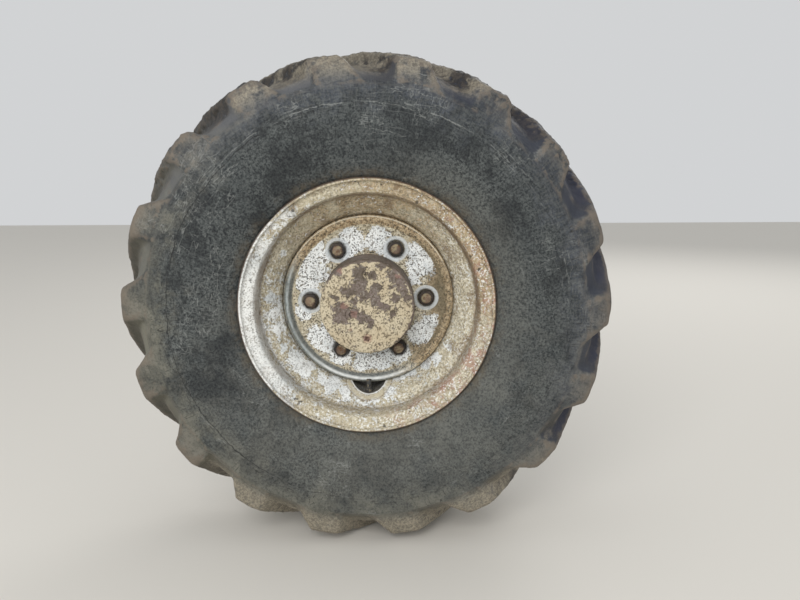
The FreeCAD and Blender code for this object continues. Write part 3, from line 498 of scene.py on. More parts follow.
# %% Tyre finish, lugs and hollows
slant = math.hypot(SHOULDER_RADIUS - LUG_START, FOOT_HALF - SHOULDER_HALF)
lean_in = (FOOT_HALF - SHOULDER_HALF) / slant
lean_out = (SHOULDER_RADIUS - LUG_START) / slant
past_foot = maths(tree, "SUBTRACT", radius, LUG_START)
past_half = maths(tree, "SUBTRACT", out, FOOT_HALF)
side_drop = weighted(tree, (past_foot, lean_in), (past_half, lean_out))
past_flat = maths(tree, "MAXIMUM", maths(tree, "SUBTRACT", out, CROWN_FLAT_HALF), 0)
top_drop = weighted(tree, (maths(tree, "SUBTRACT", radius, crown_radius), 1), (past_flat, CROWN_FALL))
in_tread = step(tree, radius, LUG_START - 2 * MM, LUG_START + 8 * MM)
high_side = step(tree, side_drop, -8 * MM, -3 * MM)
high_top = step(tree, top_drop, -9 * MM, -4 * MM)
on_lug = part_of(tree, in_tread, maths(tree, "MAXIMUM", high_side, high_top))
in_pocket = part_of(tree, in_tread, maths(tree, "SUBTRACT", 1.0, on_lug, True))
deep = part_of(tree, step(tree, side_drop, -14 * MM, -30 * MM), in_pocket)
facing = tree.nodes.new("ShaderNodeSeparateXYZ")
tree.links.new(tree.nodes.new("ShaderNodeTexCoord").outputs["Normal"], facing.inputs[0])
facing_up = facing.outputs["Z"]

# Painted light in the hollows: a pale sheen on the left, slate and navy shade on the right, and olive
# shade on faces that look down.
pocket = over(tree, step(tree, across, -0.35, 0.2, 0.6, 0), POCKET_SLATE, POCKET_SHEEN_GREY)
pocket = over(tree, khaki, pocket, LUG_KHAKI)
pocket = over(tree, step(tree, across, 0.05, 0.45, 0, 0.85), pocket, POCKET_SHADE_NAVY)
pocket = over(tree, step(tree, facing_up, -0.6, -0.1, 0.8, 0), pocket, DOWN_FACE_SHADE_OLIVE)
base = over(tree, part_of(tree, in_pocket, 0.85), base, pocket)
# Painted blue sky reflection on faces that look up deep in the hollows, mostly on the right.
painted_sky_reflection = part_of(tree, deep, step(tree, facing_up, -0.2, 0.4), step(tree, across, 0.1, 0.6, 0.15, 0.85))
base = over(tree, painted_sky_reflection, base, SKY_REFLECTION_BLUE)

up_the_lug = step(tree, wandering_radius, LUG_START, LUG_START + 40 * MM)
dusty_face = part_of(tree, up_the_lug, high_side, step(tree, patches, 0.4, 0.62, 0.1, 0.5))
base = over(tree, part_of(tree, dusty_face, step(tree, grain, 0.36, 0.56, 0.4, 1)), base, LUG_DUST)
pointiness = tree.nodes.new("ShaderNodeNewGeometry").outputs["Pointiness"]
ridge = step(tree, pointiness, 0.503, 0.517)
rubbed_ridge = part_of(tree, ridge, in_tread, step(tree, coarse, 0.3, 0.5), 0.6)
base = over(tree, rubbed_ridge, base, RUBBED_BROWN)
outer_part = step(tree, radius, crown_radius - 40 * MM, crown_radius - 12 * MM)
rubbed_side = part_of(tree, outer_part, high_side, step(tree, patches, 0.36, 0.6), 0.5)
base = over(tree, rubbed_side, base, RUBBED_BROWN)

# %% [markdown]
# The crown carries damp black mud. A dry pale crust sits on the lowest and the highest lugs;
# on the lowest it also stands for painted sunlight on the lug ends. The corners where a lug
# meets the casing are darkened with painted shade.

# %% Tyre finish, mud
on_top = part_of(tree, step(tree, out, 107 * MM, 115 * MM, 1, 0),
                 step(tree, radius, CROWN_EDGE, CROWN_EDGE + 12 * MM))
near_middle = step(tree, maths(tree, "ABSOLUTE", across), 0.5, 0.85, 1, 0.3)
black_mud = over(tree, step(tree, coarse, 0.42, 0.6), MUD_BLACK, MUD_BROWN)
black_share = part_of(tree, on_top, near_middle, step(tree, coarse, 0.3, 0.42), 0.9)
base = over(tree, black_share, base, black_mud)
# The pale crust on the lowest lugs is dry mud, and also painted sunlight on their ends.
crust_height = maths(tree, "ADD", up, swing_of(tree, patches, 1))
low_crust_and_sunlight = part_of(tree, step(tree, crust_height, -0.62, -0.88),
                    step(tree, radius, LUG_START, LUG_START + 26 * MM))
high_crust = part_of(tree, step(tree, crust_height, 0.88, 0.98),
                     step(tree, radius, CROWN_EDGE, CROWN_EDGE + 24 * MM), 0.7)
crust = maths(tree, "MAXIMUM", low_crust_and_sunlight, high_crust)
crumbs = step(tree, coarse, 0.34, 0.46, 0.25, 1)
dry_mud = over(tree, step(tree, grain, 0.4, 0.6), MUD_TAN, MUD_DRY)
base = over(tree, part_of(tree, crust, crumbs, 0.8), base, dry_mud)
# Painted shade in the concave corners where a lug meets the casing.
painted_crease_shade = step(tree, pointiness, 0.44, 0.49, 1, 0)
base = over(tree, part_of(tree, painted_crease_shade, in_tread, 0.7), base, CRACK_AND_SHADE)

rough = step(tree, radius, LUG_START - 20 * MM, LUG_START + 10 * MM, 0.8, 0.62)
bump = relief(tree, coarse, 1.6 * MM, relief(tree, grain, 1.2 * MM))
put_on(tree, shader, base, rough, bump)

# %% [markdown]
# ## Tyre
#
# The frame's tyre has the right lugs, but every edge on it is a knife's. Worn rubber is
# rounded everywhere. So a copy is merged, its hidden inside is taken out, and it is remeshed
# in small cubes, which rounds it. Three noises then make it uneven: broad wear on the lugs,
# small dents all over, and lumps of mud on the highest lugs. Decimating at the end spends the
# triangles where the form needs them.

# %% Helpers for modelling


def cad_copy(node, name):
    """Loose copy of a frame piece with its doubled points merged."""
    mesh = nodes[node].data.copy()
    mesh.materials.clear()
    piece = bpy.data.objects.new(name, mesh)
    bpy.context.scene.collection.objects.link(piece)
    take(piece)
    bpy.ops.object.mode_set(mode="EDIT")
    bpy.ops.mesh.select_all(action="SELECT")
    bpy.ops.mesh.remove_doubles(threshold=0.01 * MM)
    bpy.ops.object.mode_set(mode="OBJECT")
    return piece


def pick_faces(piece, test):
    """Selects the faces that a test on centre and normal passes, and goes to edit mode."""
    take(piece)
    bpy.ops.object.mode_set(mode="EDIT")
    bpy.ops.mesh.select_mode(type="FACE")
    bpy.ops.mesh.select_all(action="DESELECT")
    bpy.ops.object.mode_set(mode="OBJECT")
    for face in piece.data.polygons:
        face.select = test(face.center, face.normal)
    bpy.ops.object.mode_set(mode="EDIT")


def apply_modifier(piece, kind, **settings):
    """Adds one modifier and applies it at once."""
    take(piece)
    modifier = piece.modifiers.new(kind.lower(), kind)
    for name, value in settings.items():
        setattr(modifier, name, value)
    bpy.ops.object.modifier_apply(modifier=modifier.name)


def cloud_texture(name, size, depth):
    """Cloudy noise for a displacement, with waves of one size."""
    texture = bpy.data.textures.new(name, "CLOUDS")
    texture.noise_scale = size
    texture.noise_depth = depth
    return texture


def finish_piece(piece, finish, body, slot, *replaced):
    """Gives a modelled piece its finish and body, and hides the nodes it replaces; slot is not used."""
    piece.data.materials.clear()
    piece.data.materials.append(finish)
    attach(piece, body)
    if replaced:
        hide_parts(*replaced)
    print(piece.name, len(piece.data.polygons), "faces")
    return piece


# %% Tyre without its inside
CAVITY_RADIUS = 300 * MM
INSIDE_RADIUS = 385 * MM
INSIDE_HALF = 129.5 * MM
TURNED_IN = 0.5
tyre = cad_copy("tyre", "worn_tyre")


def faces_cavity(centre, normal):
    """True on the inside wall of the casing."""
    radius = radius_of(centre)
    if radius > INSIDE_RADIUS or abs(centre.y - middle) > INSIDE_HALF:
        return False
    outward = Vector((centre.x, 0, centre.z)) / radius
    heart = outward * CAVITY_RADIUS + Vector((0, middle, 0))
    return normal.dot((heart - centre).normalized()) > TURNED_IN


pick_faces(tyre, faces_cavity)
bpy.ops.mesh.delete(type="FACE")
bpy.ops.mesh.select_mode(type="EDGE")
bpy.ops.mesh.select_all(action="DESELECT")
bpy.ops.mesh.select_non_manifold(extend=False, use_wire=False, use_boundary=True,
                                 use_multi_face=False, use_non_contiguous=False, use_verts=False)
open_edges = sum(edge.select for edge in bmesh.from_edit_mesh(tyre.data).edges)
bpy.ops.mesh.bridge_edge_loops()
bpy.ops.object.mode_set(mode="OBJECT")
print("bead edges bridged:", open_edges)

# %% Worn rubber
RUBBER_CUBE = 3.6 * MM
MOST_TRIANGLES = 190000
MUD_RADIUS = 400 * MM
MUD_HEIGHT = 200 * MM
WEAR = [("lug_wear", 45 * MM, 3, 5 * MM, 0.55, "tread"),
        ("rubber_dents", 14 * MM, 2, 1.2 * MM, 0.6, ""),
        ("mud_lumps", 11 * MM, 3, 7 * MM, 0.55, "muddy")]


def group_points(piece, name, test):
    """Vertex group of the points whose place passes a test."""
    group = piece.vertex_groups.new(name=name)
    group.add([vertex.index for vertex in piece.data.vertices if test(vertex.co)], 1.0, "REPLACE")


apply_modifier(tyre, "REMESH", mode="VOXEL", voxel_size=RUBBER_CUBE, use_smooth_shade=True)
apply_modifier(tyre, "SMOOTH", factor=0.5, iterations=2)
group_points(tyre, "tread", lambda point: radius_of(point) > LUG_START + 8 * MM)
apply_modifier(tyre, "SMOOTH", factor=0.6, iterations=14, vertex_group="tread")
group_points(tyre, "muddy", lambda point: radius_of(point) > MUD_RADIUS and point.z > MUD_HEIGHT)
for name, size, depth, height, level, group in WEAR:
    apply_modifier(tyre, "DISPLACE", texture=cloud_texture(name, size, depth), strength=height,
                   mid_level=level, vertex_group=group)
print("remeshed:", len(tyre.data.polygons))
apply_modifier(tyre, "DECIMATE", ratio=min(1, MOST_TRIANGLES / (2 * len(tyre.data.polygons))))
take(tyre)
bpy.ops.object.shade_smooth()
finish_piece(tyre, tyre_finish, "wheel", "tyre", "tyre")

# %% [markdown]
# ### Old paint and mud on steel
#
# The rim and the disc were sprayed white. Since then mud has dried on them in a thin film,
# rust has come up through chips, and only some patches are still white. The patches follow
# the real wheel: white at the left and round the nuts, tan and reddish at the right, and brown
# at the top, where the brown is rust and mud and also painted shade on inner faces that look
# down. So a soft amount says where white is likely, and a noise tears its edge.

# %% Helpers for worn finishes
MARK_CORE = 0.2
MARK_REACH = 1.65


def dotted(tree, place, scale, share):
    """Scattered small dots, closer together in some places than in others."""
    dots = step(tree, noise(tree, place, scale, 2, 0.6), 0.64 - share * 0.1, 0.67 - share * 0.1)
    crowds = step(tree, noise(tree, place, scale * 0.12, 3, 0.6), 0.35, 0.55, 0.25, 1)
    return part_of(tree, dots, crowds)


def away_from(tree, place, mark_x, mark_z):
    """Distance from a line along the axis through x and z, given in mm."""
    flat = tree.nodes.new("ShaderNodeVectorMath")
    flat.operation = "MULTIPLY"
    tree.links.new(place, flat.inputs[0])
    flat.inputs[1].default_value = (1, 0, 1)
    away = tree.nodes.new("ShaderNodeVectorMath")
    away.operation = "DISTANCE"
    tree.links.new(flat.outputs[0], away.inputs[0])
    away.inputs[1].default_value = (mark_x * MM, 0, mark_z * MM)
    return away.outputs["Value"]


def spots(tree, place, marks):
    """Amount that is 1 inside any of some round marks, given as x, z and size in mm."""
    amount = 0.0
    for mark_x, mark_z, size in marks:
        away = away_from(tree, place, mark_x, mark_z)
        inside = step(tree, away, size * MARK_CORE * MM, size * MARK_REACH * MM, 1, 0)
        amount = maths(tree, "MAXIMUM", amount, inside)
    return amount


def ragged(tree, amount, chips, low=0.46, high=0.51):
    """Soft amount torn by a noise."""
    half = maths(tree, "MULTIPLY", maths(tree, "ADD", amount, chips), 0.5)
    return step(tree, half, low, high)


WHITE_PAINT_AND_HIGHLIGHT = colour(240, 242, 240)
PAINT_GREY = colour(204, 209, 210)
BEAD_SKY_REFLECTION = colour(176, 186, 188)
BEAD_STEEL_AND_SHADE = colour(84, 90, 90)
FILM_DEEP = colour(148, 136, 110)
FILM_MIDDLE = colour(200, 190, 163)
FILM_PALE_AND_HIGHLIGHT = colour(230, 223, 202)
EDGE_RUST = colour(70, 50, 36)
RUST_AND_SHADE_DARK = colour(136, 114, 82)
RUST_AND_SHADE_MIDDLE = colour(204, 184, 150)
IRON_RUST_DARK = colour(80, 58, 42)
IRON_RUST = colour(126, 96, 70)
RUST_RED = colour(158, 112, 98)
STAIN_AND_SHADE_BROWN = colour(112, 88, 62)
OLIVE_MUD = colour(96, 88, 68)
SPECK_AND_SHADE = colour(44, 39, 33)
CHIP_BROWN = colour(92, 80, 62)
RECESS_SHADE = colour(44, 43, 41)


def old_paint(tree, place, white, brown, red, specks):
    """Colour, roughness and relief of white paint under mud and rust."""
    chips = noise(tree, place, 42, 9, 0.72)
    grit = noise(tree, place, 200, 5, 0.74)
    dust = noise(tree, place, 480, 3, 0.6)
    clouds = noise(tree, place, 17, 5, 0.6)
    torn = blend_noise(tree, chips, grit, 3.2)
    mud = over(tree, step(tree, grit, 0.4, 0.6), FILM_DEEP, FILM_PALE_AND_HIGHLIGHT)
    mud = over(tree, step(tree, clouds, 0.35, 0.65, 0.1, 0.7), mud, FILM_MIDDLE)
    # The rust colours go where the brown amount is high; on the upper inner faces of the dish they also
    # stand for painted shade.
    rust = over(tree, step(tree, grit, 0.38, 0.62), RUST_AND_SHADE_DARK, RUST_AND_SHADE_MIDDLE)
    mud = over(tree, ragged(tree, brown, torn), mud, rust)
    red_chips = part_of(tree, red, step(tree, noise(tree, place, 110, 6, 0.74), 0.52, 0.62))
    mud = over(tree, red_chips, mud, RUST_RED)
    paint = over(tree, step(tree, clouds, 0.3, 0.54), PAINT_GREY, WHITE_PAINT_AND_HIGHLIGHT)
    shows = ragged(tree, white, torn)
    base = over(tree, shows, mud, paint)
    dots = part_of(tree, specks, dotted(tree, place, 330, 0.8))
    base = over(tree, dots, base, SPECK_AND_SHADE)
    chipped = part_of(tree, specks, step(tree, noise(tree, place, 170, 5, 0.78), 0.56, 0.585))
    base = over(tree, chipped, base, CHIP_BROWN)
    base = over(tree, step(tree, dust, 0.58, 0.72, 0, 0.35), base, FILM_PALE_AND_HIGHLIGHT)
    base = over(tree, step(tree, dust, 0.3, 0.42, 0.4, 0), base, SPECK_AND_SHADE)
    rough = step(tree, shows, 0, 1, 0.7, 0.34)
    low_paint = maths(tree, "SUBTRACT", grit, maths(tree, "MULTIPLY", shows, 0.35))
    bump = relief(tree, low_paint, 1.1 * MM)
    bump = relief(tree, dots, -0.5 * MM, bump)
    return base, rough, bump


# %% Rim finish
FLANGE_START = (184 * MM, 190 * MM)
GROOVE = (185.5 * MM, 190.2 * MM)
RECESS_X, RECESS_Z, RECESS_RADIUS = 0, -132.5, 34
OUTER_SIDE = (middle - 8 * MM, middle - 5 * MM)
SLOPE_PATCHES = [(-171, 8, 8), (-166, -18, 9), (-158, -48, 12), (-150, -84, 8), (-128, -104, 16),
                 (-112, -122, 14), (-84, -140, 11), (-66, -152, 14), (-46, -166, 9), (54, -138, 10),
                 (74, -130, 13), (100, -116, 11), (120, -108, 8), (142, -84, 7), (-146, 84, 7),
                 (36, -160, 8)]

rim_finish, tree, shader, place = new_finish("rim_paint")
radius, across, up = polar(tree, place)
right_up = maths(tree, "ADD", across, up)
big = noise(tree, place, 12, 4, 0.6)
big_swing = swing_of(tree, big, 2.4)
on_flange = step(tree, radius, *FLANGE_START)
tall = maths(tree, "ABSOLUTE", up)
white_way = weighted(tree, (across, -1), (tall, -0.4), (big_swing, 0.8))
white_flange = step(tree, white_way, -0.2, 1.25, 0.25, 1)
slope_way = weighted(tree, (across, -1), (up, -0.9), (big_swing, 1))
torn_place = warped(tree, warped(tree, place, 38, 26 * MM), 170, 8 * MM)
white_slope = maths(tree, "MAXIMUM", step(tree, slope_way, -1.1, 1.7, 0.2, 0.44),
                    spots(tree, torn_place, SLOPE_PATCHES))
white = over(tree, on_flange, white_slope, white_flange)
# Browner towards the top of the slope: rust and mud, and also painted shade where the slope's inner
# face looks down.
brown_slope_and_shade = step(tree, up, -0.2, 1.1, 0, 0.5)
brown_flange = step(tree, right_up, 0.2, 1.4, 0.12, 0.62)
brown = over(tree, on_flange, brown_slope_and_shade, brown_flange)
red = part_of(tree, on_flange, step(tree, across, 0, 0.8, 0, 0.7))
base, rough, bump = old_paint(tree, place, white, brown, red, 0.5)

# %% Rim finish, stains and chips
base = over(tree, part_of(tree, on_flange, 0.2), base, FILM_DEEP)
stains = step(tree, noise(tree, place, 26, 7, 0.72, 0.4), 0.53, 0.6)
base = over(tree, part_of(tree, stains, step(tree, right_up, -1, 1.2, 0.2, 0.55)), base, STAIN_AND_SHADE_BROWN)
low_right = step(tree, weighted(tree, (across, 1), (up, -0.5)), 0.5, 0.95, 0, 0.6)
red_places = part_of(tree, step(tree, noise(tree, place, 34, 7, 0.74), 0.48, 0.58), low_right)
base = over(tree, part_of(tree, on_flange, red_places), base, RUST_RED)
fleck_share = step(tree, maths(tree, "SUBTRACT", across, up), -0.6, 0.8, 0.15, 0.7)
base = over(tree, part_of(tree, dotted(tree, place, 270, 0.75), fleck_share), base, WHITE_PAINT_AND_HIGHLIGHT)
big_chips = step(tree, noise(tree, place, 66, 4, 0.7), 0.64, 0.66)
base = over(tree, part_of(tree, on_flange, big_chips, 0.75), base, SPECK_AND_SHADE)
edge_way = maths(tree, "ADD", radius, maths(tree, "MULTIPLY", big, 2 * MM))
lip = step(tree, edge_way, flange_radius - 2 * MM, flange_radius - 0.8 * MM)
base = over(tree, part_of(tree, lip, 0.9), base, EDGE_RUST)
# The groove inside the flange gets a dark line: mud, and also painted shade, heavier towards the top.
groove_mud_and_shade = band(tree, radius, *GROOVE, 2.4 * MM)
groove_share = part_of(tree, step(tree, big, 0.35, 0.6, 0.3, 0.8), step(tree, up, -1, 0.4, 0.3, 1))
base = over(tree, part_of(tree, groove_mud_and_shade, groove_share), base, STAIN_AND_SHADE_BROWN)

# %% Rim finish, valve recess
outer_side = step(tree, along_axis(tree, place), *OUTER_SIDE, 1, 0)
to_recess = away_from(tree, place, RECESS_X, RECESS_Z)
to_stain = away_from(tree, warped(tree, place, 60, 5 * MM), RECESS_X, RECESS_Z)


def recess_ring(away, low, high, soft):
    """Ring on the rim's outer side; its limits are in mm from the edge of the recess."""
    ring = band(tree, away, (RECESS_RADIUS + low) * MM, (RECESS_RADIUS + high) * MM, soft * MM)
    return part_of(tree, ring, outer_side)


stain = part_of(tree, recess_ring(to_stain, 3, 9, 2), step(tree, big, 0.4, 0.6, 0.2, 0.7))
base = over(tree, stain, base, FILM_MIDDLE)
base = over(tree, part_of(tree, recess_ring(to_stain, 9.5, 11, 1), 0.6), base, STAIN_AND_SHADE_BROWN)
base = over(tree, part_of(tree, recess_ring(to_recess, 0.3, 1.8, 0.4), 0.7), base, WHITE_PAINT_AND_HIGHLIGHT)
# The inside of the valve recess is painted shade.
in_recess = step(tree, to_recess, (RECESS_RADIUS - 0.1) * MM, (RECESS_RADIUS + 0.25) * MM, 1, 0)
base = over(tree, part_of(tree, in_recess, outer_side, 0.92), base, RECESS_SHADE)
put_on(tree, shader, base, rough, bump)

# %% [markdown]
# The disc has a flat face with six sunk bolt holes, and a shoulder that rises to a round bead,
# which meets the rim at a gap filled with painted shade. Mud keeps to the shoulder on the right
# and over the top, where it also stands for painted shade on faces that look down. The bead is
# bare grey steel from the left to the bottom, with painted shade on its flanks, a painted blue
# sky reflection along its crown and a painted highlight at the bottom, and a thin painted
# highlight runs along its back at the top. Painted shade darkens each bolt hole round its nut.

# %% Disc finish
NUMBERS = range(1, 7)
FACE_EDGE = (131 * MM, 135 * MM)
SHOULDER_TOP = (130 * MM, 138 * MM)
SHOULDER_RIGHT = (100 * MM, 122 * MM)
OLIVE_FADE = (134 * MM, 142 * MM)
BEAD = (135 * MM, 150 * MM)
BEAD_CROWN = (142 * MM, 146 * MM)
BEAD_BACK = (147 * MM, 148.6 * MM)
RIM_GAP = (150.2 * MM, 151 * MM)
HOLE_SIZE = 17
BEAD_ROUGHNESS = (0.24, 0.24, 0.24, 1)
WHITE_PATCHES = [(-29, 106, 26), (-38, 84, 18), (18, 106, 24), (44, 84, 16), (-100, 50, 30),
                 (-88, 78, 20), (-106, 26, 22), (-113, -22, 18), (97, 62, 28), (82, 84, 18),
                 (-82, -72, 28), (-52, -96, 26), (-10, -112, 20), (22, -108, 24), (52, -100, 22),
                 (96, -62, 26), (112, -40, 16), (84, 34, 12)]
hole_marks = []
for number in NUMBERS:
    low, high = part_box("wheel_stud_%d" % number)
    hole_marks.append(((low.x + high.x) / 2 / MM, (low.z + high.z) / 2 / MM, HOLE_SIZE))
print("studs at", [(round(x), round(z)) for x, z, size in hole_marks])

disc_finish, tree, shader, place = new_finish("disc_paint")
where = polar(tree, place)
radius, across, up = where
torn_place = warped(tree, warped(tree, place, 45, 24 * MM), 180, 8 * MM)
white = part_of(tree, spots(tree, torn_place, WHITE_PATCHES), step(tree, radius, *FACE_EDGE, 1, 0))
# Browner on the shoulder over the top: mud, and also painted shade where the shoulder looks down.
brown_top_and_shade = part_of(tree, step(tree, radius, *SHOULDER_TOP), step(tree, up, -0.2, 0.9))
brown_right = part_of(tree, step(tree, radius, *SHOULDER_RIGHT), step(tree, across, 0.35, 0.9, 0, 0.9))
brown = maths(tree, "MAXIMUM", brown_top_and_shade, brown_right)
base, rough, bump = old_paint(tree, place, white, brown, 0.15, 0.9)
not_white = maths(tree, "SUBTRACT", 1.0, white, True)
olive = part_of(tree, brown_right, not_white, step(tree, radius, *OLIVE_FADE, 0.85, 0.3))
base = over(tree, olive, base, OLIVE_MUD)

# %% Disc finish, bead, gap and bolt holes
# A thin painted highlight along the back of the bead, at the top.
bead_back_highlight = part_of(tree, band(tree, radius, *BEAD_BACK, 0.6 * MM), step(tree, up, 0.2, 0.7), 0.7)
base = over(tree, bead_back_highlight, base, FILM_PALE_AND_HIGHLIGHT)
# From the left to the bottom the bead is bare grey steel under painted light: painted shade on its
# flanks, a painted blue sky reflection streaked along its crown, and a painted highlight on the crown
# at the bottom.
low_left = maths(tree, "MULTIPLY", maths(tree, "ADD", across, up), -1)
bead = part_of(tree, band(tree, radius, *BEAD, 2 * MM), step(tree, low_left, 0.1, 0.8))
streaks = round_noise(tree, where, 170, 7, 4, 0.7)
bead_crown = band(tree, radius, *BEAD_CROWN, 2.5 * MM)
streaked_reflection = part_of(tree, bead_crown, step(tree, streaks, 0.36, 0.6, 0.3, 1))
bead_steel_and_light = over(tree, streaked_reflection, BEAD_STEEL_AND_SHADE, BEAD_SKY_REFLECTION)
bead_highlight = part_of(tree, bead_crown, step(tree, up, -0.6, -0.95, 0, 0.8))
bead_steel_and_light = over(tree, bead_highlight, bead_steel_and_light, WHITE_PAINT_AND_HIGHLIGHT)
base = over(tree, part_of(tree, bead, 0.88), base, bead_steel_and_light)
# Painted shade in the gap where the bead meets the rim, darker on the left.
rim_gap_shade = part_of(tree, step(tree, radius, *RIM_GAP), step(tree, across, -0.4, 0.5, 0.7, 0.15))
base = over(tree, rim_gap_shade, base, SPECK_AND_SHADE)
holes = spots(tree, place, hole_marks)
hole_edge = part_of(tree, band(tree, holes, 0.13, 0.5, 0.04), step(tree, up, -0.7, -0.2), 0.8)
base = over(tree, hole_edge, base, PAINT_GREY)
# Painted shade inside each bolt hole, round its nut.
base = over(tree, part_of(tree, step(tree, holes, 0.5, 0.62), 0.85), base, SPECK_AND_SHADE)
rough = over(tree, bead, rough, BEAD_ROUGHNESS)
put_on(tree, shader, base, rough, bump)

# %% [markdown]
# ### Hub: mud on bare iron
#
# The hub's end plate is the dirtiest piece. A pale crust covers most of it, pitted like a dry
# puddle, and where it has come off the iron shows dark and a little purple. The bare patches
# lie in slanting bands, so they are placed one by one and torn by a noise.

# %% Hub finishes
CRUST_PALE = colour(196, 184, 158)
CRUST_TAN = colour(186, 171, 143)
CRUST_PIT = colour(92, 80, 62)
IRON_PURPLE = colour(112, 98, 90)
IRON_BROWN = colour(88, 76, 64)
IRON_GREY = colour(146, 138, 128)
BARE_PATCHES = [(-12, 58, 10), (-14, 46, 12), (-16, 34, 13), (-26, 28, 12), (-40, 26, 8), (-4, 20, 9),
                (8, 26, 8), (16, 34, 8), (9, 52, 7), (14, 12, 9), (22, 4, 8), (32, -4, 9), (44, -10, 6),
                (46, 54, 11), (54, 44, 9), (60, 28, 10), (68, 16, 7), (46, 14, 7), (40, 34, 6),
                (26, 70, 7), (-46, -2, 9), (-38, -14, 13), (-48, -20, 9), (-22, -12, 8), (-10, -18, 9),
                (2, -22, 8), (4, -32, 6), (-52, 16, 5), (-48, 60, 6), (-20, 10, 5), (-2, -54, 5)]
RED_PATCHES = [(0, -54, 9), (-46, 62, 7), (50, 52, 6), (-38, 0, 6), (-24, -14, 6), (-28, -38, 4)]


def crust_finish(name, bare_marks, red_marks, low_bare):
    """Pale pitted mud with dark iron showing through; low_bare is how bare its low side is."""
    material, tree, shader, place = new_finish(name)
    radius, across, up = polar(tree, place)
    chips = noise(tree, place, 62, 8, 0.72)
    grit = noise(tree, place, 230, 5, 0.7)
    clouds = noise(tree, place, 24, 5, 0.6)
    torn_place = warped(tree, warped(tree, place, 70, 16 * MM), 230, 7 * MM)
    bare = spots(tree, torn_place, bare_marks) if bare_marks else 0.0
    edge_way = maths(tree, "ADD", radius, maths(tree, "MULTIPLY", chips, 4 * MM))
    side = step(tree, edge_way, plate_radius - 3.4 * MM, plate_radius + 0.8 * MM)
    side_share = step(tree, maths(tree, "ADD", across, up), -0.9, 0.5, low_bare, 1)
    bare = maths(tree, "MAXIMUM", bare, part_of(tree, side, side_share))
    crust = over(tree, step(tree, clouds, 0.35, 0.65), CRUST_TAN, CRUST_PALE)
    crust = over(tree, step(tree, grit, 0.3, 0.44, 0.8, 0), crust, CRUST_PIT)
    iron = over(tree, step(tree, clouds, 0.4, 0.6), IRON_BROWN, IRON_PURPLE)
    iron = over(tree, step(tree, grit, 0.52, 0.66, 0, 0.7), iron, IRON_GREY)
    shows = ragged(tree, bare, blend_noise(tree, chips, grit, 5.6), 0.43, 0.455)
    base = over(tree, shows, crust, iron)
    pits = maths(tree, "MAXIMUM", dotted(tree, place, 300, 0.7),
                 step(tree, noise(tree, place, 150, 5, 0.76), 0.58, 0.6))
    base = over(tree, part_of(tree, pits, 0.75), base, CRUST_PIT)
    if red_marks:
        red = ragged(tree, spots(tree, torn_place, red_marks), grit, 0.45, 0.6)
        base = over(tree, part_of(tree, red, 0.36), base, RUST_RED)
    rough = step(tree, shows, 0, 1, 0.92, 0.55)
    thick = maths(tree, "SUBTRACT", grit, maths(tree, "MULTIPLY", shows, 0.8))
    bump = relief(tree, thick, 1.3 * MM)
    put_on(tree, shader, base, rough, relief(tree, pits, -0.7 * MM, bump))
    return material


plate_finish = crust_finish("plate_crust", BARE_PATCHES, RED_PATCHES, 0.0)
hub_finish = crust_finish("hub_side", [], [], 0.9)

# %% [markdown]
# ### Iron, steel, axle paint and rubber parts
#
# The nuts and the stud ends show in front, and the rest from the sides and the back. One
# function makes all of it: two tones of the clean surface, dirt that a noise lays on, rust
# where another noise is high, and a relief.

# %% Plainer finishes


def grimy(name, dark, pale, dirt, dirt_share, rust_share, shine, metal=0.0, size=1.0):
    """Surface of two tones under dirt and rust; size packs its noises closer."""
    material, tree, shader, place = new_finish(name)
    clouds = noise(tree, place, 26 * size, 5, 0.62)
    chips = noise(tree, place, 60 * size, 8, 0.7)
    grit = noise(tree, place, 260 * size, 4, 0.68)
    base = over(tree, step(tree, clouds, 0.35, 0.65), colour(*dark), colour(*pale))
    base = over(tree, step(tree, grit, 0.3, 0.45, 0.45, 0), base, SPECK_AND_SHADE)
    rust = over(tree, step(tree, grit, 0.4, 0.6), IRON_RUST_DARK, IRON_RUST)
    rust_limit = 0.72 - rust_share * 0.4
    rusty = step(tree, noise(tree, place, 38 * size, 7, 0.7), rust_limit, rust_limit + 0.04)
    base = over(tree, rusty, base, rust)
    dirt_limit = 0.7 - dirt_share * 0.4
    dirty = step(tree, chips, dirt_limit, dirt_limit + 0.08)
    base = over(tree, dirty, base, over(tree, step(tree, grit, 0.35, 0.62), FILM_DEEP, dirt))
    dull = maths(tree, "MAXIMUM", rusty, dirty)
    put_on(tree, shader, base, step(tree, dull, 0, 1, shine, 0.88), relief(tree, grit, 0.7 * MM))
    tree.links.new(step(tree, dull, 0, 1, metal, 0), shader.inputs["Metallic"])
    return material


nut_finish = grimy("nut_rust", (28, 23, 19), (58, 46, 36), FILM_DEEP, 0.1, 0.15, 0.6, size=2.5)
stud_finish = grimy("stud_mud", (92, 74, 62), (132, 112, 92), FILM_DEEP, 0.5, 0.5, 0.7, size=2.5)
bolt_finish = grimy("bolt_steel", (88, 84, 80), (126, 122, 116), FILM_MIDDLE, 0.4, 0.5, 0.45, 0.6, 2)
turned_finish = grimy("turned_steel", (136, 138, 138), (176, 178, 178), FILM_DEEP, 0.1, 0.2, 0.3, 1)
axle_finish = grimy("axle_paint", (38, 40, 42), (62, 64, 66), MUD_TAN, 0.42, 0.34, 0.5)
seal_finish = grimy("seal_rubber", (26, 26, 27), (44, 44, 45), FILM_DEEP, 0.2, 0.0, 0.6, size=2)
valve_finish = grimy("valve_rubber", (40, 40, 40), (66, 66, 64), MUD_BROWN, 0.5, 0.0, 0.7, size=3)

# %% [markdown]
# ## Steel and iron pieces
#
# These have the right form in the frame already, but their edges are perfectly sharp, and a
# sharp edge never catches the light as a real one does. Each is copied and merged, its flat
# faces are joined, and a narrow bevel rounds every edge sharper than the angle below. The
# soft rounds of the profile are left to smooth shading.

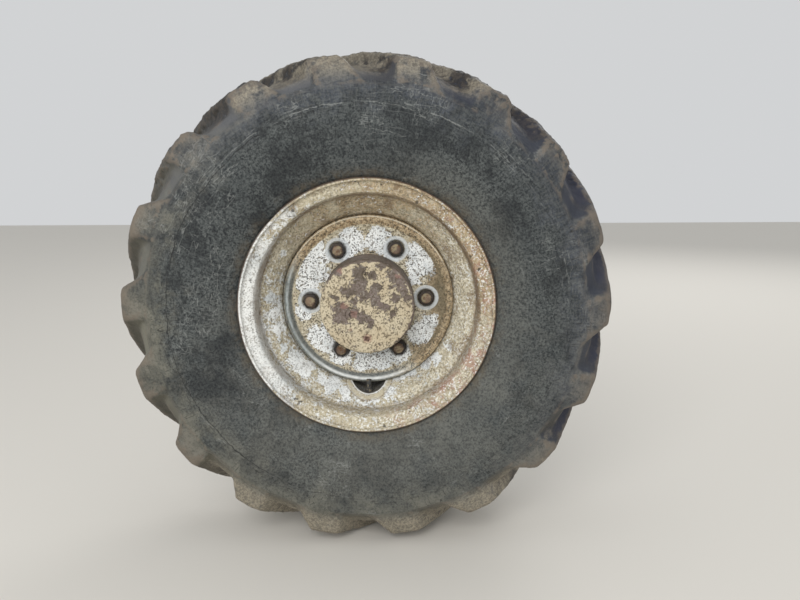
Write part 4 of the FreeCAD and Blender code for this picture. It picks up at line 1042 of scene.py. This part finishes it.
# %% Pieces with softened edges
SHARP_ANGLE = math.radians(38)
FLAT_ANGLE = math.radians(0.4)


def soften(node, name, width, finish, body, slot):
    """Copy of a frame piece with its sharp edges bevelled to a width in mm."""
    piece = cad_copy(node, name)
    bpy.ops.object.mode_set(mode="EDIT")
    bpy.ops.mesh.select_all(action="SELECT")
    bpy.ops.mesh.dissolve_limited(angle_limit=FLAT_ANGLE)
    bpy.ops.object.mode_set(mode="OBJECT")
    apply_modifier(piece, "BEVEL", limit_method="ANGLE", angle_limit=SHARP_ANGLE, width=width * MM,
                   segments=2, use_clamp_overlap=True)
    take(piece)
    bpy.ops.object.shade_smooth_by_angle(angle=SHARP_ANGLE)
    return finish_piece(piece, finish, body, slot, node)


SOFTENED = [
    ("disc", "wheel_disc", 0.8, disc_finish, "wheel", "rim_paint"),
    ("hub_cover", "hub_plate", 1.0, plate_finish, "wheel", "hub_iron"),
    ("hub", "hub_casting", 1.2, hub_finish, "wheel", "hub_iron"),
    ("hub_seal", "hub_seal_ring", 0.4, seal_finish, "wheel", "seal_rubber"),
    ("valve_stem", "valve_rubber_stem", 0.5, valve_finish, "wheel", "valve_rubber"),
    ("valve_cap", "valve_dust_cap", 0.4, valve_finish, "wheel", "valve_plastic"),
    ("cover_screw_1", "plate_screw_1", 0.4, plate_finish, "wheel", "fastener_steel"),
    ("cover_screw_2", "plate_screw_2", 0.4, plate_finish, "wheel", "fastener_steel"),
    ("oil_plug", "plate_plug", 0.4, plate_finish, "wheel", "fastener_steel"),
    ("axle_arm", "axle_arm_casting", 1.5, axle_finish, "axle_end", "axle_paint"),
    ("spindle", "spindle_steel", 0.8, turned_finish, "axle_end", "turned_steel"),
    ("arm_bolts", "arm_bolt_set", 0.5, bolt_finish, "axle_end", "fastener_steel"),
    ("shaft_seal", "shaft_seal_ring", 0.4, seal_finish, "axle_end", "seal_rubber"),
    ("half_shaft", "splined_shaft", 0.4, turned_finish, "shaft", "turned_steel"),
]
for number in NUMBERS:
    for kind, width, finish in (("stud", 0.4, stud_finish), ("nut", 0.5, nut_finish)):
        name = "%s_%d" % (kind, number)
        SOFTENED.append(("wheel_" + name, name, width, finish, "wheel", "fastener_steel"))
for row in SOFTENED:
    soften(*row)

# %% [markdown]
# ## Rim
#
# The rim's outer flange has hit stones for years: its lip is nicked and no longer quite round.
# The softened copy gets those dents one by one. Each is a point, counted from the middle plane,
# then a reach and a push that fades out, all in mm.

# %% Dented rim
DENTS = [((209, -124, 4), 13, (-4.5, 2.5, 0)), ((196, -122, -70), 24, (-1.5, 1.4, 0.6)),
         ((-150, -122, 146), 30, (1.2, 1.0, -1.2)), ((-60, -122, -200), 26, (0.3, 1.2, 1.4)),
         ((96, -122, 186), 28, (-0.7, 1.0, -1.2)), ((-206, -122, -30), 22, (1.3, 0.8, 0))]


def dent(piece, point, reach, push):
    """Moves the points near a place, less and less with distance."""
    heart = Vector((point[0] * MM, point[1] * MM + middle, point[2] * MM))
    for vertex in piece.data.vertices:
        share = 1 - (vertex.co - heart).length / (reach * MM)
        if share > 0:
            fade = share * share * (3 - 2 * share)
            vertex.co += Vector(push) * (MM * fade)


rim = soften("rim", "dented_rim", 0.8, rim_finish, "wheel", "rim_paint")
for dent_row in DENTS:
    dent(rim, *dent_row)
